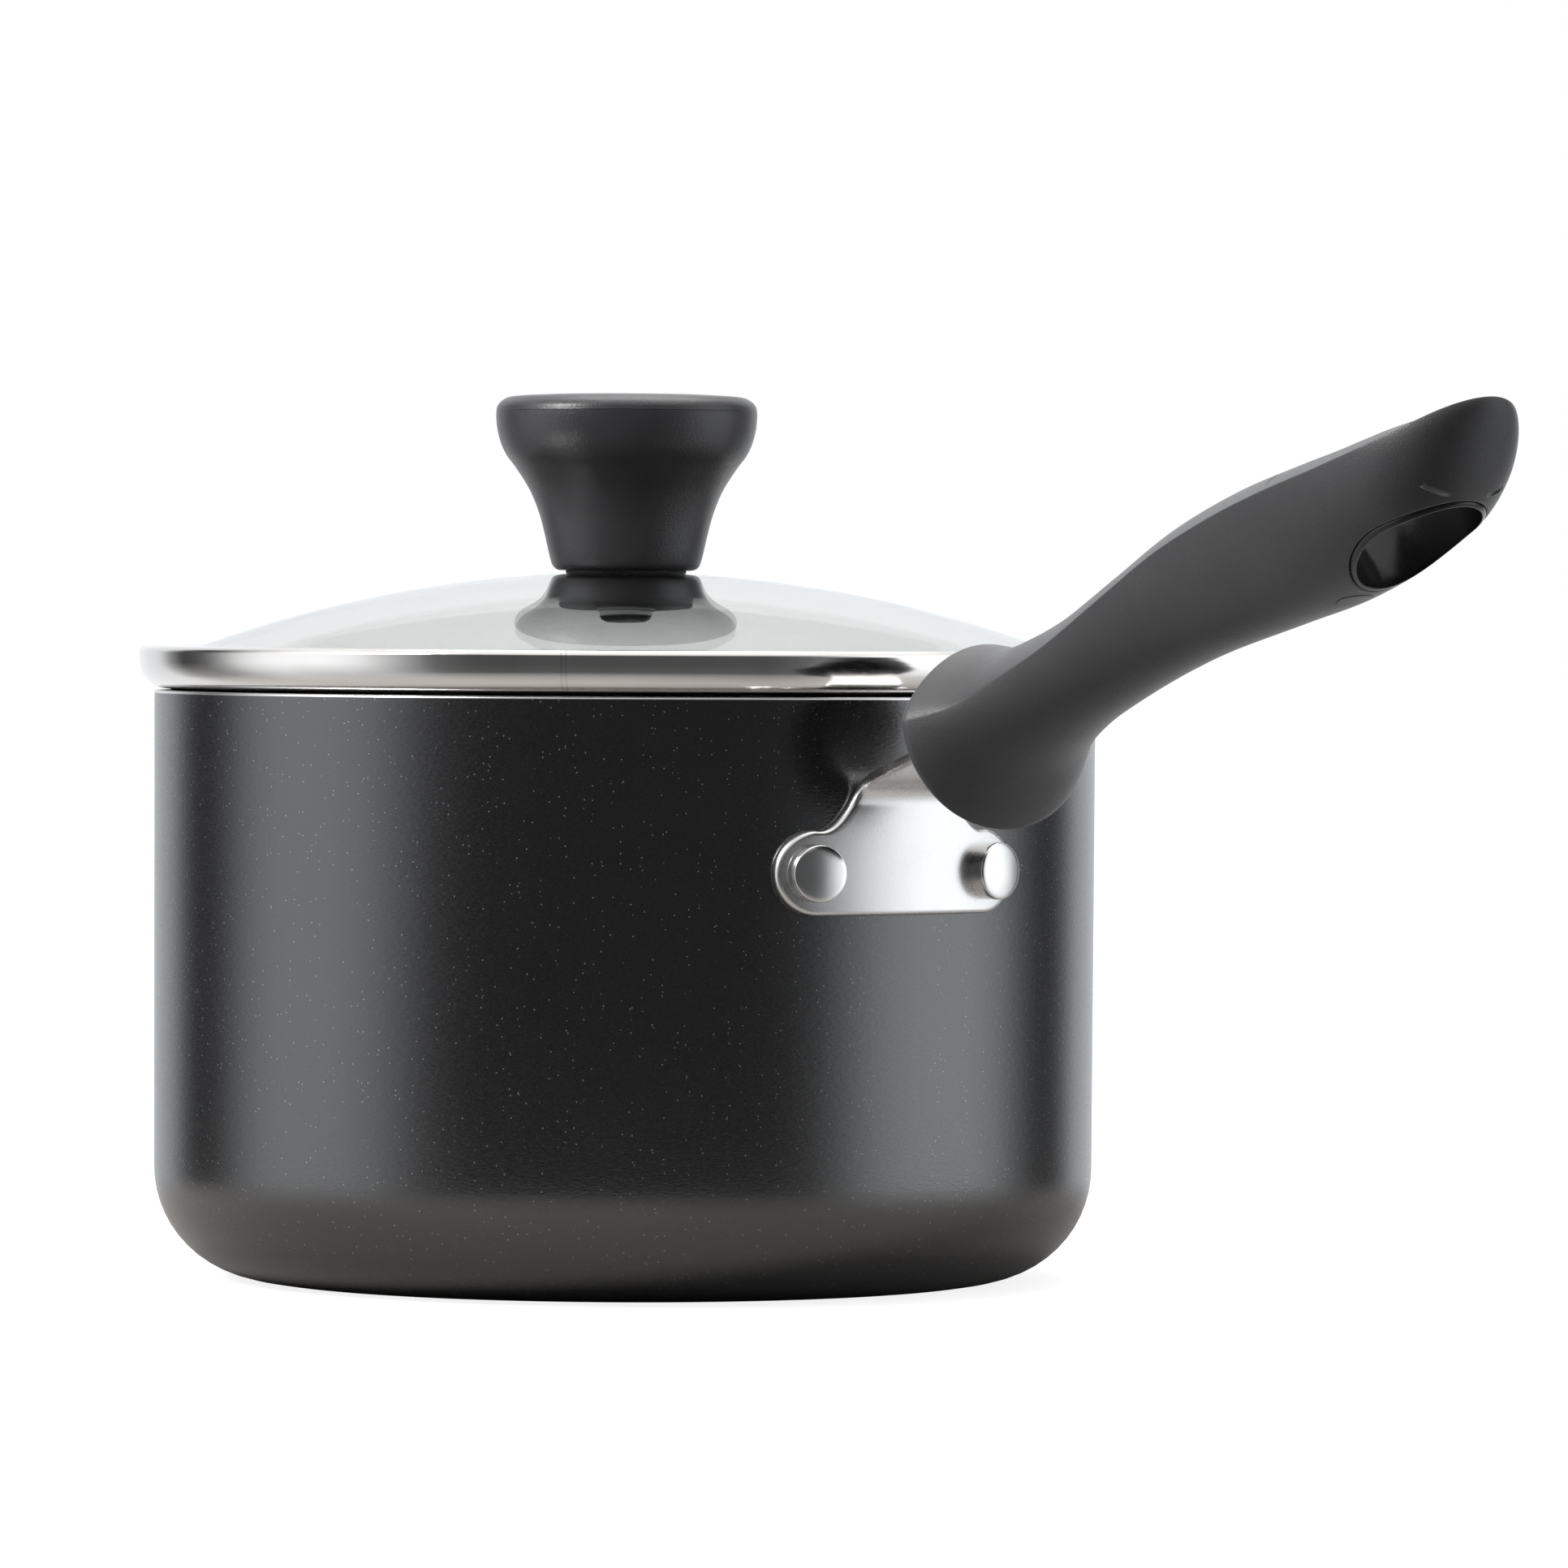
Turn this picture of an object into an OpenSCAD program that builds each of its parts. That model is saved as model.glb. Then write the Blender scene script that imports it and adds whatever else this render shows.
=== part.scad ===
// Saucepan with a long curved handle and a glass lid.
// Origin: centre of the underside of the base. Z is up, X runs out along the handle.

/* [Pan] */
// Outside diameter at the rim
pan_d = 165; // [140:1:200]
// Height from the underside to the rim
pan_h = 102.7; // [98:0.1:125]
// Thickness of the wall
wall_t = 2.3; // [1.8:0.1:3]
// Thickness of the base
base_t = 3.6; // [2.6:0.1:6]
// Outside radius between base and wall
corner_r = 19.5; // [12:0.5:24]

/* [Bracket] */
// Thickness of the steel plate
plate_t = 2; // [1.5:0.1:2.5]
// Half the distance between the rivets, as an angle round the pan
rivet_angle = 12.4; // [11:0.1:14]
// Height of the rivets below the rim
rivet_drop = 29.5; // [27:0.1:31]
// Radius of the plate round each rivet
lobe_r = 7.2; // [6.6:0.1:8]
// Diameter of the rivet heads outside
rivet_d = 9.7; // [8.6:0.1:11]
// Height of the rivet heads outside
head_t = 3.5; // [2:0.1:4]
// Diameter of the rivet shank
shank_d = 6; // [4:0.1:7]

/* [Handle] */
// Widens or narrows the handle
grip_width = 1; // [0.95:0.01:1.15]
// Thickness of the soft skin over the core
skin_t = 2; // [1.6:0.1:2.4]
// Length of the hanging hole along the handle
hole_len = 26.8; // [20:0.1:28]
// Width of the hanging hole
hole_wid = 19.6; // [14:0.1:20.4]
// Lean of the hanging hole, towards the pan at the top
hole_lean = 35; // [28:1:38]

/* [Lid] */
// Gap between the lid band and the pan rim
seat_gap = 0.3; // [0.2:0.05:0.5]
// Thickness of the glass
glass_t = 4; // [3.4:0.1:4.2]
// Radius of the glass dome
dome_r = 215; // [200:1:235]
// Thickness of the rolled steel band
band_t = 0.6; // [0.5:0.05:0.8]

/* [Knob] */
// Largest diameter of the knob
knob_d = 45.8; // [38:0.1:52]
// Height of the knob
knob_h = 30.9; // [24:0.1:36]
// Diameter of the knob screw
screw_d = 5; // [4:0.1:6]

/* [Hidden] */
$fn = 96;
eps = 0.02;
pan_r = pan_d / 2;
draft = 0.3;
rim_round = 0.5;
neck_half = 9.7;
foot_r = pan_r - draft - corner_r;
inner_r = pan_r - wall_t;
inner_corner_r = corner_r - 2.5;
rivet_z = pan_h - rivet_drop;
plate_r = pan_r + plate_t;
steel = [0.80, 0.79, 0.76];
bright_steel = [0.86, 0.84, 0.80];
enamel = [0.13, 0.13, 0.14];
grip_black = [0.24, 0.24, 0.25];
gloss_black = [0.07, 0.07, 0.08];
knob_black = [0.11, 0.11, 0.11];
clear_glass = [0.82, 0.88, 0.86, 0.45];
rubber_grey = [0.25, 0.25, 0.26];
brass = [0.80, 0.64, 0.33];

// Lid levels
lid_z = pan_h + seat_gap;
band_h = 7.4;
flange_z = lid_z + band_h;
glass_top_z = flange_z - band_t;
dome_edge_r = pan_r - 6.5;
dome_c_z = glass_top_z - sqrt(dome_r * dome_r - dome_edge_r * dome_edge_r);
apex_z = dome_c_z + dome_r;
band_grow = pan_r - 82.5;

// Knob levels
pad_t = 0.3;
pad_r = 10.6;
knob_z = apex_z + pad_t;
knob_r = knob_d / 2;
glass_hole_r = screw_d / 2 + 1.4;
low_pad_r = 11.8;
low_pad_t = 1.6;
washer_t = 0.8;
screw_head_r = 4.65;
screw_head_t = 2;
insert_r = screw_d / 2 + 1.6;
insert_len = 10;

// Handle stations, measured from the top of the pan wall:
// out, up, half width, crown above the edge line, belly below it
stations = [
    [26.5, -3.9, 19.0, 13.2, 18.0],
    [34.5, -1.3, 15.4, 10.2, 11.0],
    [43.5, 3.1, 13.4, 8.0, 9.8],
    [55.5, 8.9, 12.4, 6.6, 10.6],
    [70.5, 16.7, 12.4, 6.2, 13.0],
    [85.5, 23.9, 13.2, 6.2, 15.8],
    [101.5, 29.5, 14.6, 6.0, 17.4],
    [116.5, 33.7, 15.8, 5.4, 17.8],
    [131.5, 37.9, 15.2, 4.8, 16.2],
    [143.5, 42.1, 13.8, 3.8, 12.8],
    [155.0, 48.5, 12.6, 0.6, 5.8]
];
last = len(stations) - 1;
tip_len = 18;
mouth_lean = 10;
mouth_blend = 2.5;
crown_blend = 3;
crown_round = 0.4;
lip_r = 2.2;
wall_at_mouth = 3.4;
core_from = 1.1;

// Tang centre line inside the handle, measured from the top of the pan wall
tang = [[29.5, -5.5], [43.5, 1.6], [85.5, 19.6], [111.5, 26.6]];
tang_w = 12;
tang_play = 0.15;
tang_slope = 17.7;
bend_r = 4;
bend_z = pan_h - 18.25;
hole_out = 129;
hole_up = 37.2;
hole_wall = 0.9;

// Smooth curve through the stations at position u, by the four nearest ones
function station(k) =
    k < 0 ? 2 * stations[0] - stations[1] :
    k > last ? 2 * stations[last] - stations[last - 1] : stations[k];
function blend4(a, b, c, d, f) =
    0.5 * (2 * b + (c - a) * f + (2 * a - 5 * b + 4 * c - d) * f * f
        + (3 * b - a - 3 * c + d) * f * f * f);
function at(u) =
    let (k = min(floor(u), last - 1), f = u - k)
    blend4(station(k - 1), station(k), station(k + 1), station(k + 2), f);

// Slope of the edge line, leaning to the angle of the mouth at the pan end
function slope(u) =
    let (a = at(max(u - 0.01, 0)), b = at(min(u + 0.01, last)),
        k = max(0, 1 - u / mouth_blend))
    atan2(b[1] - a[1], b[0] - a[0]) * (1 - k) + mouth_lean * k;

// Half width, crown and belly shrink in a quarter ellipse towards the tip
function tip_scale(x) =
    let (q = max(0, (x - stations[last][0] + tip_len) / tip_len))
    sqrt(max(0, 1 - q * q));

// One ring of the handle, drawn in by "inset" and pushed "ahead" along the handle
function ring(u, inset, ahead, sides) =
    let (s = at(u), a = slope(u), f = tip_scale(s[0]),
        w = max(s[2] * grip_width * f - inset, 0.05),
        c = max(s[3] * f - inset, 0.03),
        b = max(s[4] * f - inset, 0.04),
        m = crown_round * max(0, 1 - u / crown_blend))
    [for (i = [0:sides - 1])
        let (t = 360 * i / sides, sn = sin(t),
            n = sn > 0 ? c * ((1 - m) * sn * sn + m * sn) : b * sn)
        [pan_r + s[0] + ahead * cos(a) - n * sin(a),
            w * cos(t),
            pan_h + s[1] + ahead * sin(a) + n * cos(a)]];

// Closed solid through a list of rings with the same number of points
module skin_rings(rings) {
    sides = len(rings[0]);
    count = len(rings);
    polyhedron(
        points = [for (r = rings) for (p = r) p],
        faces = concat(
            [[for (i = [0:sides - 1]) i]],
            [for (k = [0:count - 2]) for (i = [0:sides - 1])
                let (j = (i + 1) % sides)
                [k * sides + i, (k + 1) * sides + j, k * sides + j]],
            [for (k = [0:count - 2]) for (i = [0:sides - 1])
                let (j = (i + 1) % sides)
                [k * sides + i, (k + 1) * sides + i, (k + 1) * sides + j]],
            [[for (i = [sides - 1:-1:0]) (count - 1) * sides + i]]),
        convexity = 4);
}

// Positions along the handle, closer together towards the tip
function walk(from, to, steps) =
    [for (i = [0:steps]) from + (to - from) * sin(90 * i / steps)];
function even(from, to, steps) = [for (i = [0:steps]) from + (to - from) * i / steps];

module grip_outside() {
    sides = 36;
    lip = [for (t = [0, 45, 75])
        ring(0, lip_r * (1 - sin(t)), -lip_r * cos(t), sides)];
    body = [for (u = concat(even(0, 8.5, 24), walk(8.65, 9.985, 7)))
        ring(u, 0, 0, sides)];
    skin_rings(concat(lip, body));
}

// Hollow of the mouth round the tang
module mouth_hollow() {
    sides = 28;
    skin_rings([ring(0, wall_at_mouth, -lip_r - 1, sides), ring(0, wall_at_mouth, 0, sides),
        ring(0.6, wall_at_mouth, 0, sides), ring(core_from + 0.02, wall_at_mouth, 0, sides)]);
}

// Outside of the hard core, one skin thickness inside the grip
module core_outside() {
    skin_rings([for (u = concat(even(core_from, 8.4, 18), walk(8.6, 9.6, 5)))
        ring(u, skin_t, 0, 28)]);
}

// Oval bar along the axis of the hanging hole
module hole_bar(extra) {
    translate([pan_r + hole_out, 0, pan_h + hole_up])
        rotate([0, -hole_lean, 0])
            scale([1, (hole_wid / 2 + extra) / (hole_len / 2 + extra), 1])
                cylinder(r = hole_len / 2 + extra, h = 60, center = true, $fn = 48);
}

// Direction of the tang line at a point, as the mean of the stretches beside it
function tang_dir(k) =
    let (a = tang[max(k - 1, 0)], b = tang[min(k + 1, len(tang) - 1)])
    (b - a) / norm(b - a);

// Flat tang inside the handle, "more" wider and thicker all round for its slot
module tang_inside(more) {
    half = plate_t / 2 + more;
    side = [for (k = [0:len(tang) - 1]) [-tang_dir(k)[1], tang_dir(k)[0]] * half];
    translate([pan_r, tang_w / 2 + more, pan_h])
        rotate([90, 0, 0])
            linear_extrude(tang_w + 2 * more)
                polygon(concat(
                    [for (k = [0:len(tang) - 1]) tang[k] - side[k]],
                    [for (k = [len(tang) - 1:-1:0]) tang[k] + side[k]]));
}

// Radial axis of a rivet, with the part's own X pointing out from the pan
module at_rivet(side) {
    rotate([0, 0, side * rivet_angle])
        translate([0, 0, rivet_z])
            rotate([0, 90, 0])
                children();
}

// Points along an arc about [x, y], from angle a to angle b
function arc(x, y, r, a, b, steps) =
    [for (i = [0:steps])
        let (t = a + (b - a) * i / steps)
        [x + r * cos(t), y + r * sin(t)]];

module pan_body() {
    floor_r = inner_r - draft - inner_corner_r;
    profile = concat(
        [[0, 0]],
        arc(foot_r, corner_r, corner_r, -90, 0, 14),
        [[pan_r - draft * 0.4, pan_h * 0.6]],
        arc(pan_r - rim_round, pan_h - rim_round, rim_round, 0, 90, 3),
        arc(inner_r + rim_round, pan_h - rim_round, rim_round, 90, 180, 3),
        [[inner_r - draft * 0.4, pan_h * 0.6]],
        arc(floor_r, base_t + inner_corner_r, inner_corner_r, 0, -90, 14),
        [[0, base_t]]);
    color(enamel)
    difference() {
        rotate_extrude($fn = 180)
            polygon(profile);
        for (side = [-1, 1])
            at_rivet(side)
                translate([0, 0, inner_r - 6])
                    cylinder(d = shank_d, h = wall_t + 12, $fn = 48);
    }
}

// Front outline of the bracket: two round lobes and a neck that narrows upwards
module bracket_outline() {
    lobe_y = pan_r * sin(rivet_angle) - 0.4;
    neck_z = rivet_z + lobe_r;
    side_pts = [[lobe_y, -1], [lobe_y - 1.1, -0.05], [lobe_y - 2.5, 0.5], [lobe_y - 3.9, 1.6],
        [lobe_y - 5.2, 3.1], [lobe_y - 6.4, 4.9], [lobe_y - 7.2, 6.5], [neck_half, 8.2],
        [neck_half, 17.8], [tang_w / 2, 24], [tang_w / 2, 30]];
    for (side = [-1, 1])
        translate([side * lobe_y, rivet_z])
            circle(r = lobe_r, $fn = 64);
    translate([-lobe_y, rivet_z - lobe_r])
        square([2 * lobe_y, lobe_r * 1.9]);
    polygon(concat(
        [for (p = side_pts) [p[0], neck_z + p[1]]],
        [for (i = [len(side_pts) - 1:-1:0]) [-side_pts[i][0], neck_z + side_pts[i][1]]]));
}

// Plate on the wall, the bend away from it and the start of the tang, in one sheet
module bracket_profile() {
    cx = plate_r + bend_r;
    out = 180 - (90 - tang_slope);
    reach = pan_r + tang[0][0] - cx + 3;
    top = [cx + (bend_r + plate_t) * cos(out), bend_z + (bend_r + plate_t) * sin(out)];
    low = [cx + bend_r * cos(out), bend_z + bend_r * sin(out)];
    polygon(concat(
        [[plate_r, rivet_z - lobe_r - 1]],
        arc(cx, bend_z, bend_r, 180, out, 8),
        [[low[0] + reach, low[1] + reach * tan(tang_slope)],
            [top[0] + reach, top[1] + reach * tan(tang_slope)]],
        arc(cx, bend_z, bend_r + plate_t, out, 180, 8),
        [[pan_r + eps, rivet_z - lobe_r - 1]]));
}

module handle_bracket() {
    color(steel) {
        difference() {
            intersection() {
                rotate([0, 0, -30])
                    rotate_extrude(angle = 60, $fn = 180)
                        bracket_profile();
                translate([pan_r / 2, 0, 0])
                    rotate([90, 0, 90])
                        linear_extrude(pan_r)
                            bracket_outline();
            }
            for (side = [-1, 1])
                at_rivet(side)
                    translate([0, 0, inner_r])
                        cylinder(d = shank_d, h = 20, $fn = 48);
        }
        tang_inside(0);
    }
}

// Cylinder about the pan's own axis, seen from a rivet's axis
module wall_round(r) {
    rotate([0, 90, 0])
        cylinder(r = r, h = 60, center = true, $fn = 180);
}

// Solid rivet: low head inside the pan, shank, and a slightly domed head outside
module rivet() {
    inside_r = 6.5;
    inside_t = 1.5;
    edge = 0.4;
    crown = 0.6;
    head_r = rivet_d / 2;
    color(bright_steel) {
        intersection() {
            translate([0, 0, inner_r - inside_t])
                rotate_extrude($fn = 64)
                    polygon([[0, 0], [inside_r * 0.6, 0.1], [inside_r - edge, 0.5],
                        [inside_r, 1], [inside_r, 3], [0, 3]]);
            wall_round(inner_r - draft * 0.4);
        }
        translate([0, 0, inner_r - 0.4])
            cylinder(d = shank_d, h = plate_r - inner_r + 0.8, $fn = 48);
        difference() {
            translate([0, 0, plate_r - 0.5])
                rotate_extrude($fn = 64)
                    polygon(concat(
                        [[0, 0], [head_r, 0]],
                        arc(head_r - edge, head_t + 0.5 - crown - edge, edge, 0, 60, 4),
                        [for (q = [0.88, 0.66, 0.44, 0.22, 0])
                            [head_r * q, head_t + 0.5 - crown * q * q]]));
            wall_round(plate_r);
        }
    }
}

module rivet_left() {
    at_rivet(-1)
        rivet();
}

module rivet_right() {
    at_rivet(1)
        rivet();
}

// Hard core: fills the grip and lines the hanging hole
module handle_core() {
    color(gloss_black)
    difference() {
        union() {
            core_outside();
            intersection() {
                hole_bar(0);
                grip_outside();
            }
        }
        hole_bar(-hole_wall);
        tang_inside(tang_play);
    }
}

// Soft outer skin of the handle, open at the mouth towards the pan
module handle_grip() {
    color(grip_black)
    difference() {
        grip_outside();
        mouth_hollow();
        core_outside();
        hole_bar(0);
    }
}

// Height of the dome above its centre at radius r, less a depth into the glass
function dome(r, depth) = dome_c_z + sqrt((dome_r - depth) * (dome_r - depth) - r * r);

module lid_glass() {
    edge_r = pan_r + 1.5;
    bevel = 0.7;
    low = glass_top_z - glass_t;
    steps = 16;
    from = glass_hole_r;
    color(clear_glass)
    rotate_extrude($fn = 180)
        polygon(concat(
            [for (i = [0:steps])
                let (r = from + (dome_edge_r - from) * i / steps)
                [r, dome(r, 0)]],
            [[edge_r - bevel, glass_top_z], [edge_r, glass_top_z - bevel],
                [edge_r, low + bevel], [edge_r - bevel, low]],
            [for (i = [steps:-1:0])
                let (r = from + (dome_edge_r - 1 - from) * i / steps)
                [r, dome(r, glass_t)]]));
}

// Rolled steel band: flange over the glass, round outside, and a skirt inside the pan
module lid_band() {
    t = band_t;
    g = band_grow;
    top = band_h;
    skirt = -4;
    carry = band_h - t - glass_t - 0.1;
    outside = [[76.3, top], [84.0, top], [84.6, top - 0.15], [85.0, top - 0.5],
        [85.2, top - 1.1], [85.17, 5.4], [85.05, 4.3], [84.75, 3.2], [84.2, 2.1], [83.4, 1.15],
        [82.4, 0.45], [81.2, 0.05], [80.4, 0], [79.6, 0], [79.6, skirt], [77.9, skirt],
        [77.9, carry - t], [76.3, carry - t]];
    inside = [[76.3, carry], [78.5, carry], [78.5, skirt + t], [79.0, skirt + t],
        [79.0, t], [80.9, t], [82.15, 0.5 + t], [83.05, 1.05 + t], [83.75, 1.8 + t],
        [84.2, 2.75 + t], [84.47, 3.8 + t], [84.58, 4.9 + t], [84.6, top - 1.2], [84.45, top - t - 0.15],
        [84.2, top - t], [76.3, top - t]];
    color(bright_steel)
    translate([0, 0, lid_z])
        rotate_extrude($fn = 180)
            polygon([for (p = concat(outside, inside)) [p[0] + g, p[1]]]);
}

// Outline of the knob, narrow at the glass and widest near the top
knob_line = [[10.9, 0], [12.1, 0.3], [12.9, 1.0], [13.3, 2.0], [13.6, 3.2], [14.3, 6.3],
    [15.2, 9.7], [16.7, 13.1], [17.6, 14.9], [19.8, 18.2], [21.0, 19.9], [21.8, 21.6],
    [22.4, 23.4], [22.75, 25.1], [22.9, 26.8], [22.9, 27.9], [22.5, 29.0], [21.5, 29.9],
    [19.8, 30.5], [14, 30.8], [0, 30.9]];

module lid_knob() {
    wide = knob_r / 22.9;
    tall = knob_h / 30.9;
    color(knob_black)
    translate([0, 0, knob_z])
        difference() {
            rotate_extrude($fn = 128)
                polygon(concat([[0, 0]], [for (p = knob_line) [p[0] * wide, p[1] * tall]]));
            translate([0, 0, -1])
                cylinder(r = insert_r, h = insert_len + 2, $fn = 48);
        }
}

// Brass sleeve moulded into the foot of the knob
module knob_insert() {
    color(brass)
    translate([0, 0, knob_z])
        difference() {
            cylinder(r = insert_r, h = insert_len, $fn = 48);
            translate([0, 0, -1])
                cylinder(d = screw_d, h = insert_len, $fn = 48);
        }
}

module knob_screw() {
    under = dome(0, glass_t) - low_pad_t - washer_t;
    color(bright_steel) {
        translate([0, 0, under])
            cylinder(d = screw_d, h = knob_z + insert_len - 2 - under, $fn = 48);
        translate([0, 0, under - screw_head_t])
            difference() {
                rotate_extrude($fn = 64)
                    polygon([[0, 0], [screw_head_r - 1.2, 0], [screw_head_r - 0.4, 0.4],
                        [screw_head_r, 1.1], [screw_head_r, screw_head_t], [0, screw_head_t]]);
                for (turn = [0, 90])
                    rotate([0, 0, turn])
                        translate([-2.4, -0.5, -1])
                            cube([4.8, 1, 2]);
            }
    }
}

module knob_washer() {
    under = dome(0, glass_t) - low_pad_t - washer_t;
    color(steel)
    translate([0, 0, under])
        difference() {
            cylinder(r = screw_head_r + 0.5, h = washer_t, $fn = 64);
            translate([0, 0, -1])
                cylinder(d = screw_d + 0.2, h = 3, $fn = 48);
        }
}

// Rubber washer under the glass, with a neck through its hole
module knob_pad_lower() {
    base_z = dome(0, glass_t) - low_pad_t;
    color(rubber_grey)
    rotate_extrude($fn = 64)
        polygon(concat(
            [[screw_d / 2 + 0.1, base_z], [low_pad_r - 0.5, base_z], [low_pad_r, base_z + 0.4]],
            [for (r = [low_pad_r, (low_pad_r + glass_hole_r) / 2, glass_hole_r])
                [r, dome(r, glass_t) - 0.05]],
            [[glass_hole_r - 0.1, dome(0, glass_t)], [glass_hole_r - 0.1, apex_z - 0.2],
                [screw_d / 2 + 0.1, apex_z - 0.2]]));
}

// Thin washer between the glass and the knob
module knob_pad_upper() {
    color(rubber_grey)
    rotate_extrude($fn = 64)
        polygon(concat(
            [[screw_d / 2 + 0.1, knob_z], [screw_d / 2 + 0.1, apex_z]],
            [for (r = [glass_hole_r, (pad_r + glass_hole_r) / 2, pad_r])
                [r, dome(r, 0) + 0.03]],
            [[pad_r, knob_z]]));
}

pan_body();
handle_bracket();
rivet_left();
rivet_right();
handle_core();
handle_grip();
lid_glass();
lid_band();
lid_knob();
knob_insert();
knob_screw();
knob_washer();
knob_pad_lower();
knob_pad_upper();
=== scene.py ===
import math
import bmesh
import bpy
import numpy as np
from mathutils import Matrix, Vector


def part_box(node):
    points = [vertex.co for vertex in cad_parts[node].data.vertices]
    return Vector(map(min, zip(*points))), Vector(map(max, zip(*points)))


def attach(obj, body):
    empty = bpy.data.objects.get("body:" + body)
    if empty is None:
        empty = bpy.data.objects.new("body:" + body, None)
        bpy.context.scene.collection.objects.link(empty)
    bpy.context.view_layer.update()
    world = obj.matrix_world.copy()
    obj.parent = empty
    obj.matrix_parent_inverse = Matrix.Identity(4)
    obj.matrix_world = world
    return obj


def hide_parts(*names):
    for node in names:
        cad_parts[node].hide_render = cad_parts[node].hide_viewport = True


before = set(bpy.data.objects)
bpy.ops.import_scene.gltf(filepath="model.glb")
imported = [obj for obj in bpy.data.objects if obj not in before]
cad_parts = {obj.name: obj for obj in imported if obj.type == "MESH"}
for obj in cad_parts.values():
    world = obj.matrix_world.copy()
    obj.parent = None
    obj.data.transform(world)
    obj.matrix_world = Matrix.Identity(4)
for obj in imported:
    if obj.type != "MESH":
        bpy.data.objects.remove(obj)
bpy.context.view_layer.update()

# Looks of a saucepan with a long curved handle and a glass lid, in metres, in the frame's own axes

mm = 0.001
tau = 2 * math.pi


# Quads of a grid of points, row after row; a closed side runs back to its start
def gridQuads(rows, cols, closeRows=False, closeCols=False):
    i = np.arange(rows if closeRows else rows - 1)[:, None]
    j = np.arange(cols if closeCols else cols - 1)[None, :]
    i2, j2 = (i + 1) % rows, (j + 1) % cols
    return np.stack([i * cols + j, i * cols + j2, i2 * cols + j2, i2 * cols + j], -1).reshape(-1, 4)


# Open line with exact arcs at its corners: a corner p of radius r is cut back by r*tan(turn/2)
# on both sides and bridged by the circle, written as a rational quadratic
def softLine(corners, radii, steps=6):
    p, r = np.array(corners, float), np.array(radii, float)
    a, b = p[1:-1] - p[:-2], p[2:] - p[1:-1]
    a = a / np.linalg.norm(a, axis=1)[:, None]
    b = b / np.linalg.norm(b, axis=1)[:, None]
    turn = np.arccos(np.clip((a * b).sum(1), -1, 1))
    back = (r * np.tan(turn / 2))[:, None]
    t = np.linspace(0, 1, steps + 1)[None, :, None]
    w = np.cos(turn / 2)[:, None, None]
    start, mid, end = (p[1:-1] - a * back)[:, None], p[1:-1][:, None], (p[1:-1] + b * back)[:, None]
    bridge = ((1 - t) ** 2 * start + 2 * t * (1 - t) * w * mid + t ** 2 * end) / (
        (1 - t) ** 2 + 2 * t * (1 - t) * w + t ** 2)
    return np.concatenate([p[:1], bridge.reshape(-1, p.shape[1]), p[-1:]])


# The same for a closed line
def softLoop(corners, radii, steps=6):
    p = np.array(corners, float)
    return softLine(np.concatenate([p[-1:], p, p[:1]]), radii, steps)[1:-1]


# Long straight stretches of a line are split so that no step is longer than "most"
def finer(line, most):
    step = np.linalg.norm(np.diff(line, axis=0), axis=1)
    count = np.maximum(1, np.ceil(step / most).astype(int))
    first = np.repeat(np.arange(len(step)), count)
    share = (np.arange(count.sum()) - np.repeat(np.cumsum(count) - count, count)) / np.repeat(count, count)
    inner = line[first] + (line[first + 1] - line[first]) * share[:, None]
    return np.concatenate([inner, line[-1:]])


# Smooth line through every point: the four nearest points weighted by cubic blends
def smoothLine(points, steps):
    p = np.array(points, float)
    p = np.concatenate([2 * p[:1] - p[1:2], p, 2 * p[-1:] - p[-2:-1]])
    f = (np.arange(steps) / steps)[None, :, None]
    a, b, c, d = p[:-3, None], p[1:-2, None], p[2:-1, None], p[3:, None]
    out = 0.5 * (2 * b + (c - a) * f + (2 * a - 5 * b + 4 * c - d) * f ** 2
                 + (3 * b - a - 3 * c + d) * f ** 3)
    return np.concatenate([out.reshape(-1, p.shape[1]), p[-2:-1]])


# Profile of (radius, height) carried round the z axis: x = r cos, y = r sin
def spin(profile, sides=160, angles=None):
    angle = np.linspace(0, tau, sides, endpoint=False) if angles is None else angles
    r, z = profile[:, 0][:, None], profile[:, 1][:, None]
    return np.stack([r * np.cos(angle), r * np.sin(angle), z + 0 * angle], -1)


def placeObject(name, data):
    made = bpy.data.objects.new(name, data)
    bpy.context.scene.collection.objects.link(made)
    return made


# A closed piece from patches of grid points, welded at its seams and poles, faces outwards
def makePiece(name, patches, finishes, body, standsFor, sharp=None):
    points, quads, marks, count = [], [], [], 0
    for patch in patches:
        grid = patch["grid"] if isinstance(patch, dict) else patch
        options = patch if isinstance(patch, dict) else {}
        rows, cols = grid.shape[:2]
        made = gridQuads(rows, cols, options.get("closeRows", False), options.get("closeCols", False))
        flat = grid.reshape(-1, 3)
        points.append(flat)
        quads.append(made + count)
        zones = options.get("finish")
        marks.append(zones(flat[made].mean(1)) if zones else np.zeros(len(made), int))
        count += rows * cols
    mesh = bpy.data.meshes.new(name)
    mesh.from_pydata(np.concatenate(points), [], np.concatenate(quads))
    mesh.polygons.foreach_set("material_index", np.concatenate(marks).astype(np.int32))
    work = bmesh.new()
    work.from_mesh(mesh)
    bmesh.ops.remove_doubles(work, verts=work.verts, dist=2e-7)
    bmesh.ops.dissolve_degenerate(work, edges=work.edges, dist=1e-8)
    bmesh.ops.recalc_face_normals(work, faces=work.faces)
    openEdges = sum(1 for e in work.edges if not e.is_manifold)
    work.to_mesh(mesh)
    work.free()
    mesh.polygons.foreach_set("use_smooth", np.ones(len(mesh.polygons), bool))
    if sharp:
        mesh.set_sharp_from_angle(angle=math.radians(sharp))
    for finish in finishes:
        mesh.materials.append(finish)
    piece = placeObject(name, mesh)
    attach(piece, body)
    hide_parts(*standsFor)
    print("piece", name, len(mesh.polygons), "faces", "open edges", openEdges)


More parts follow.
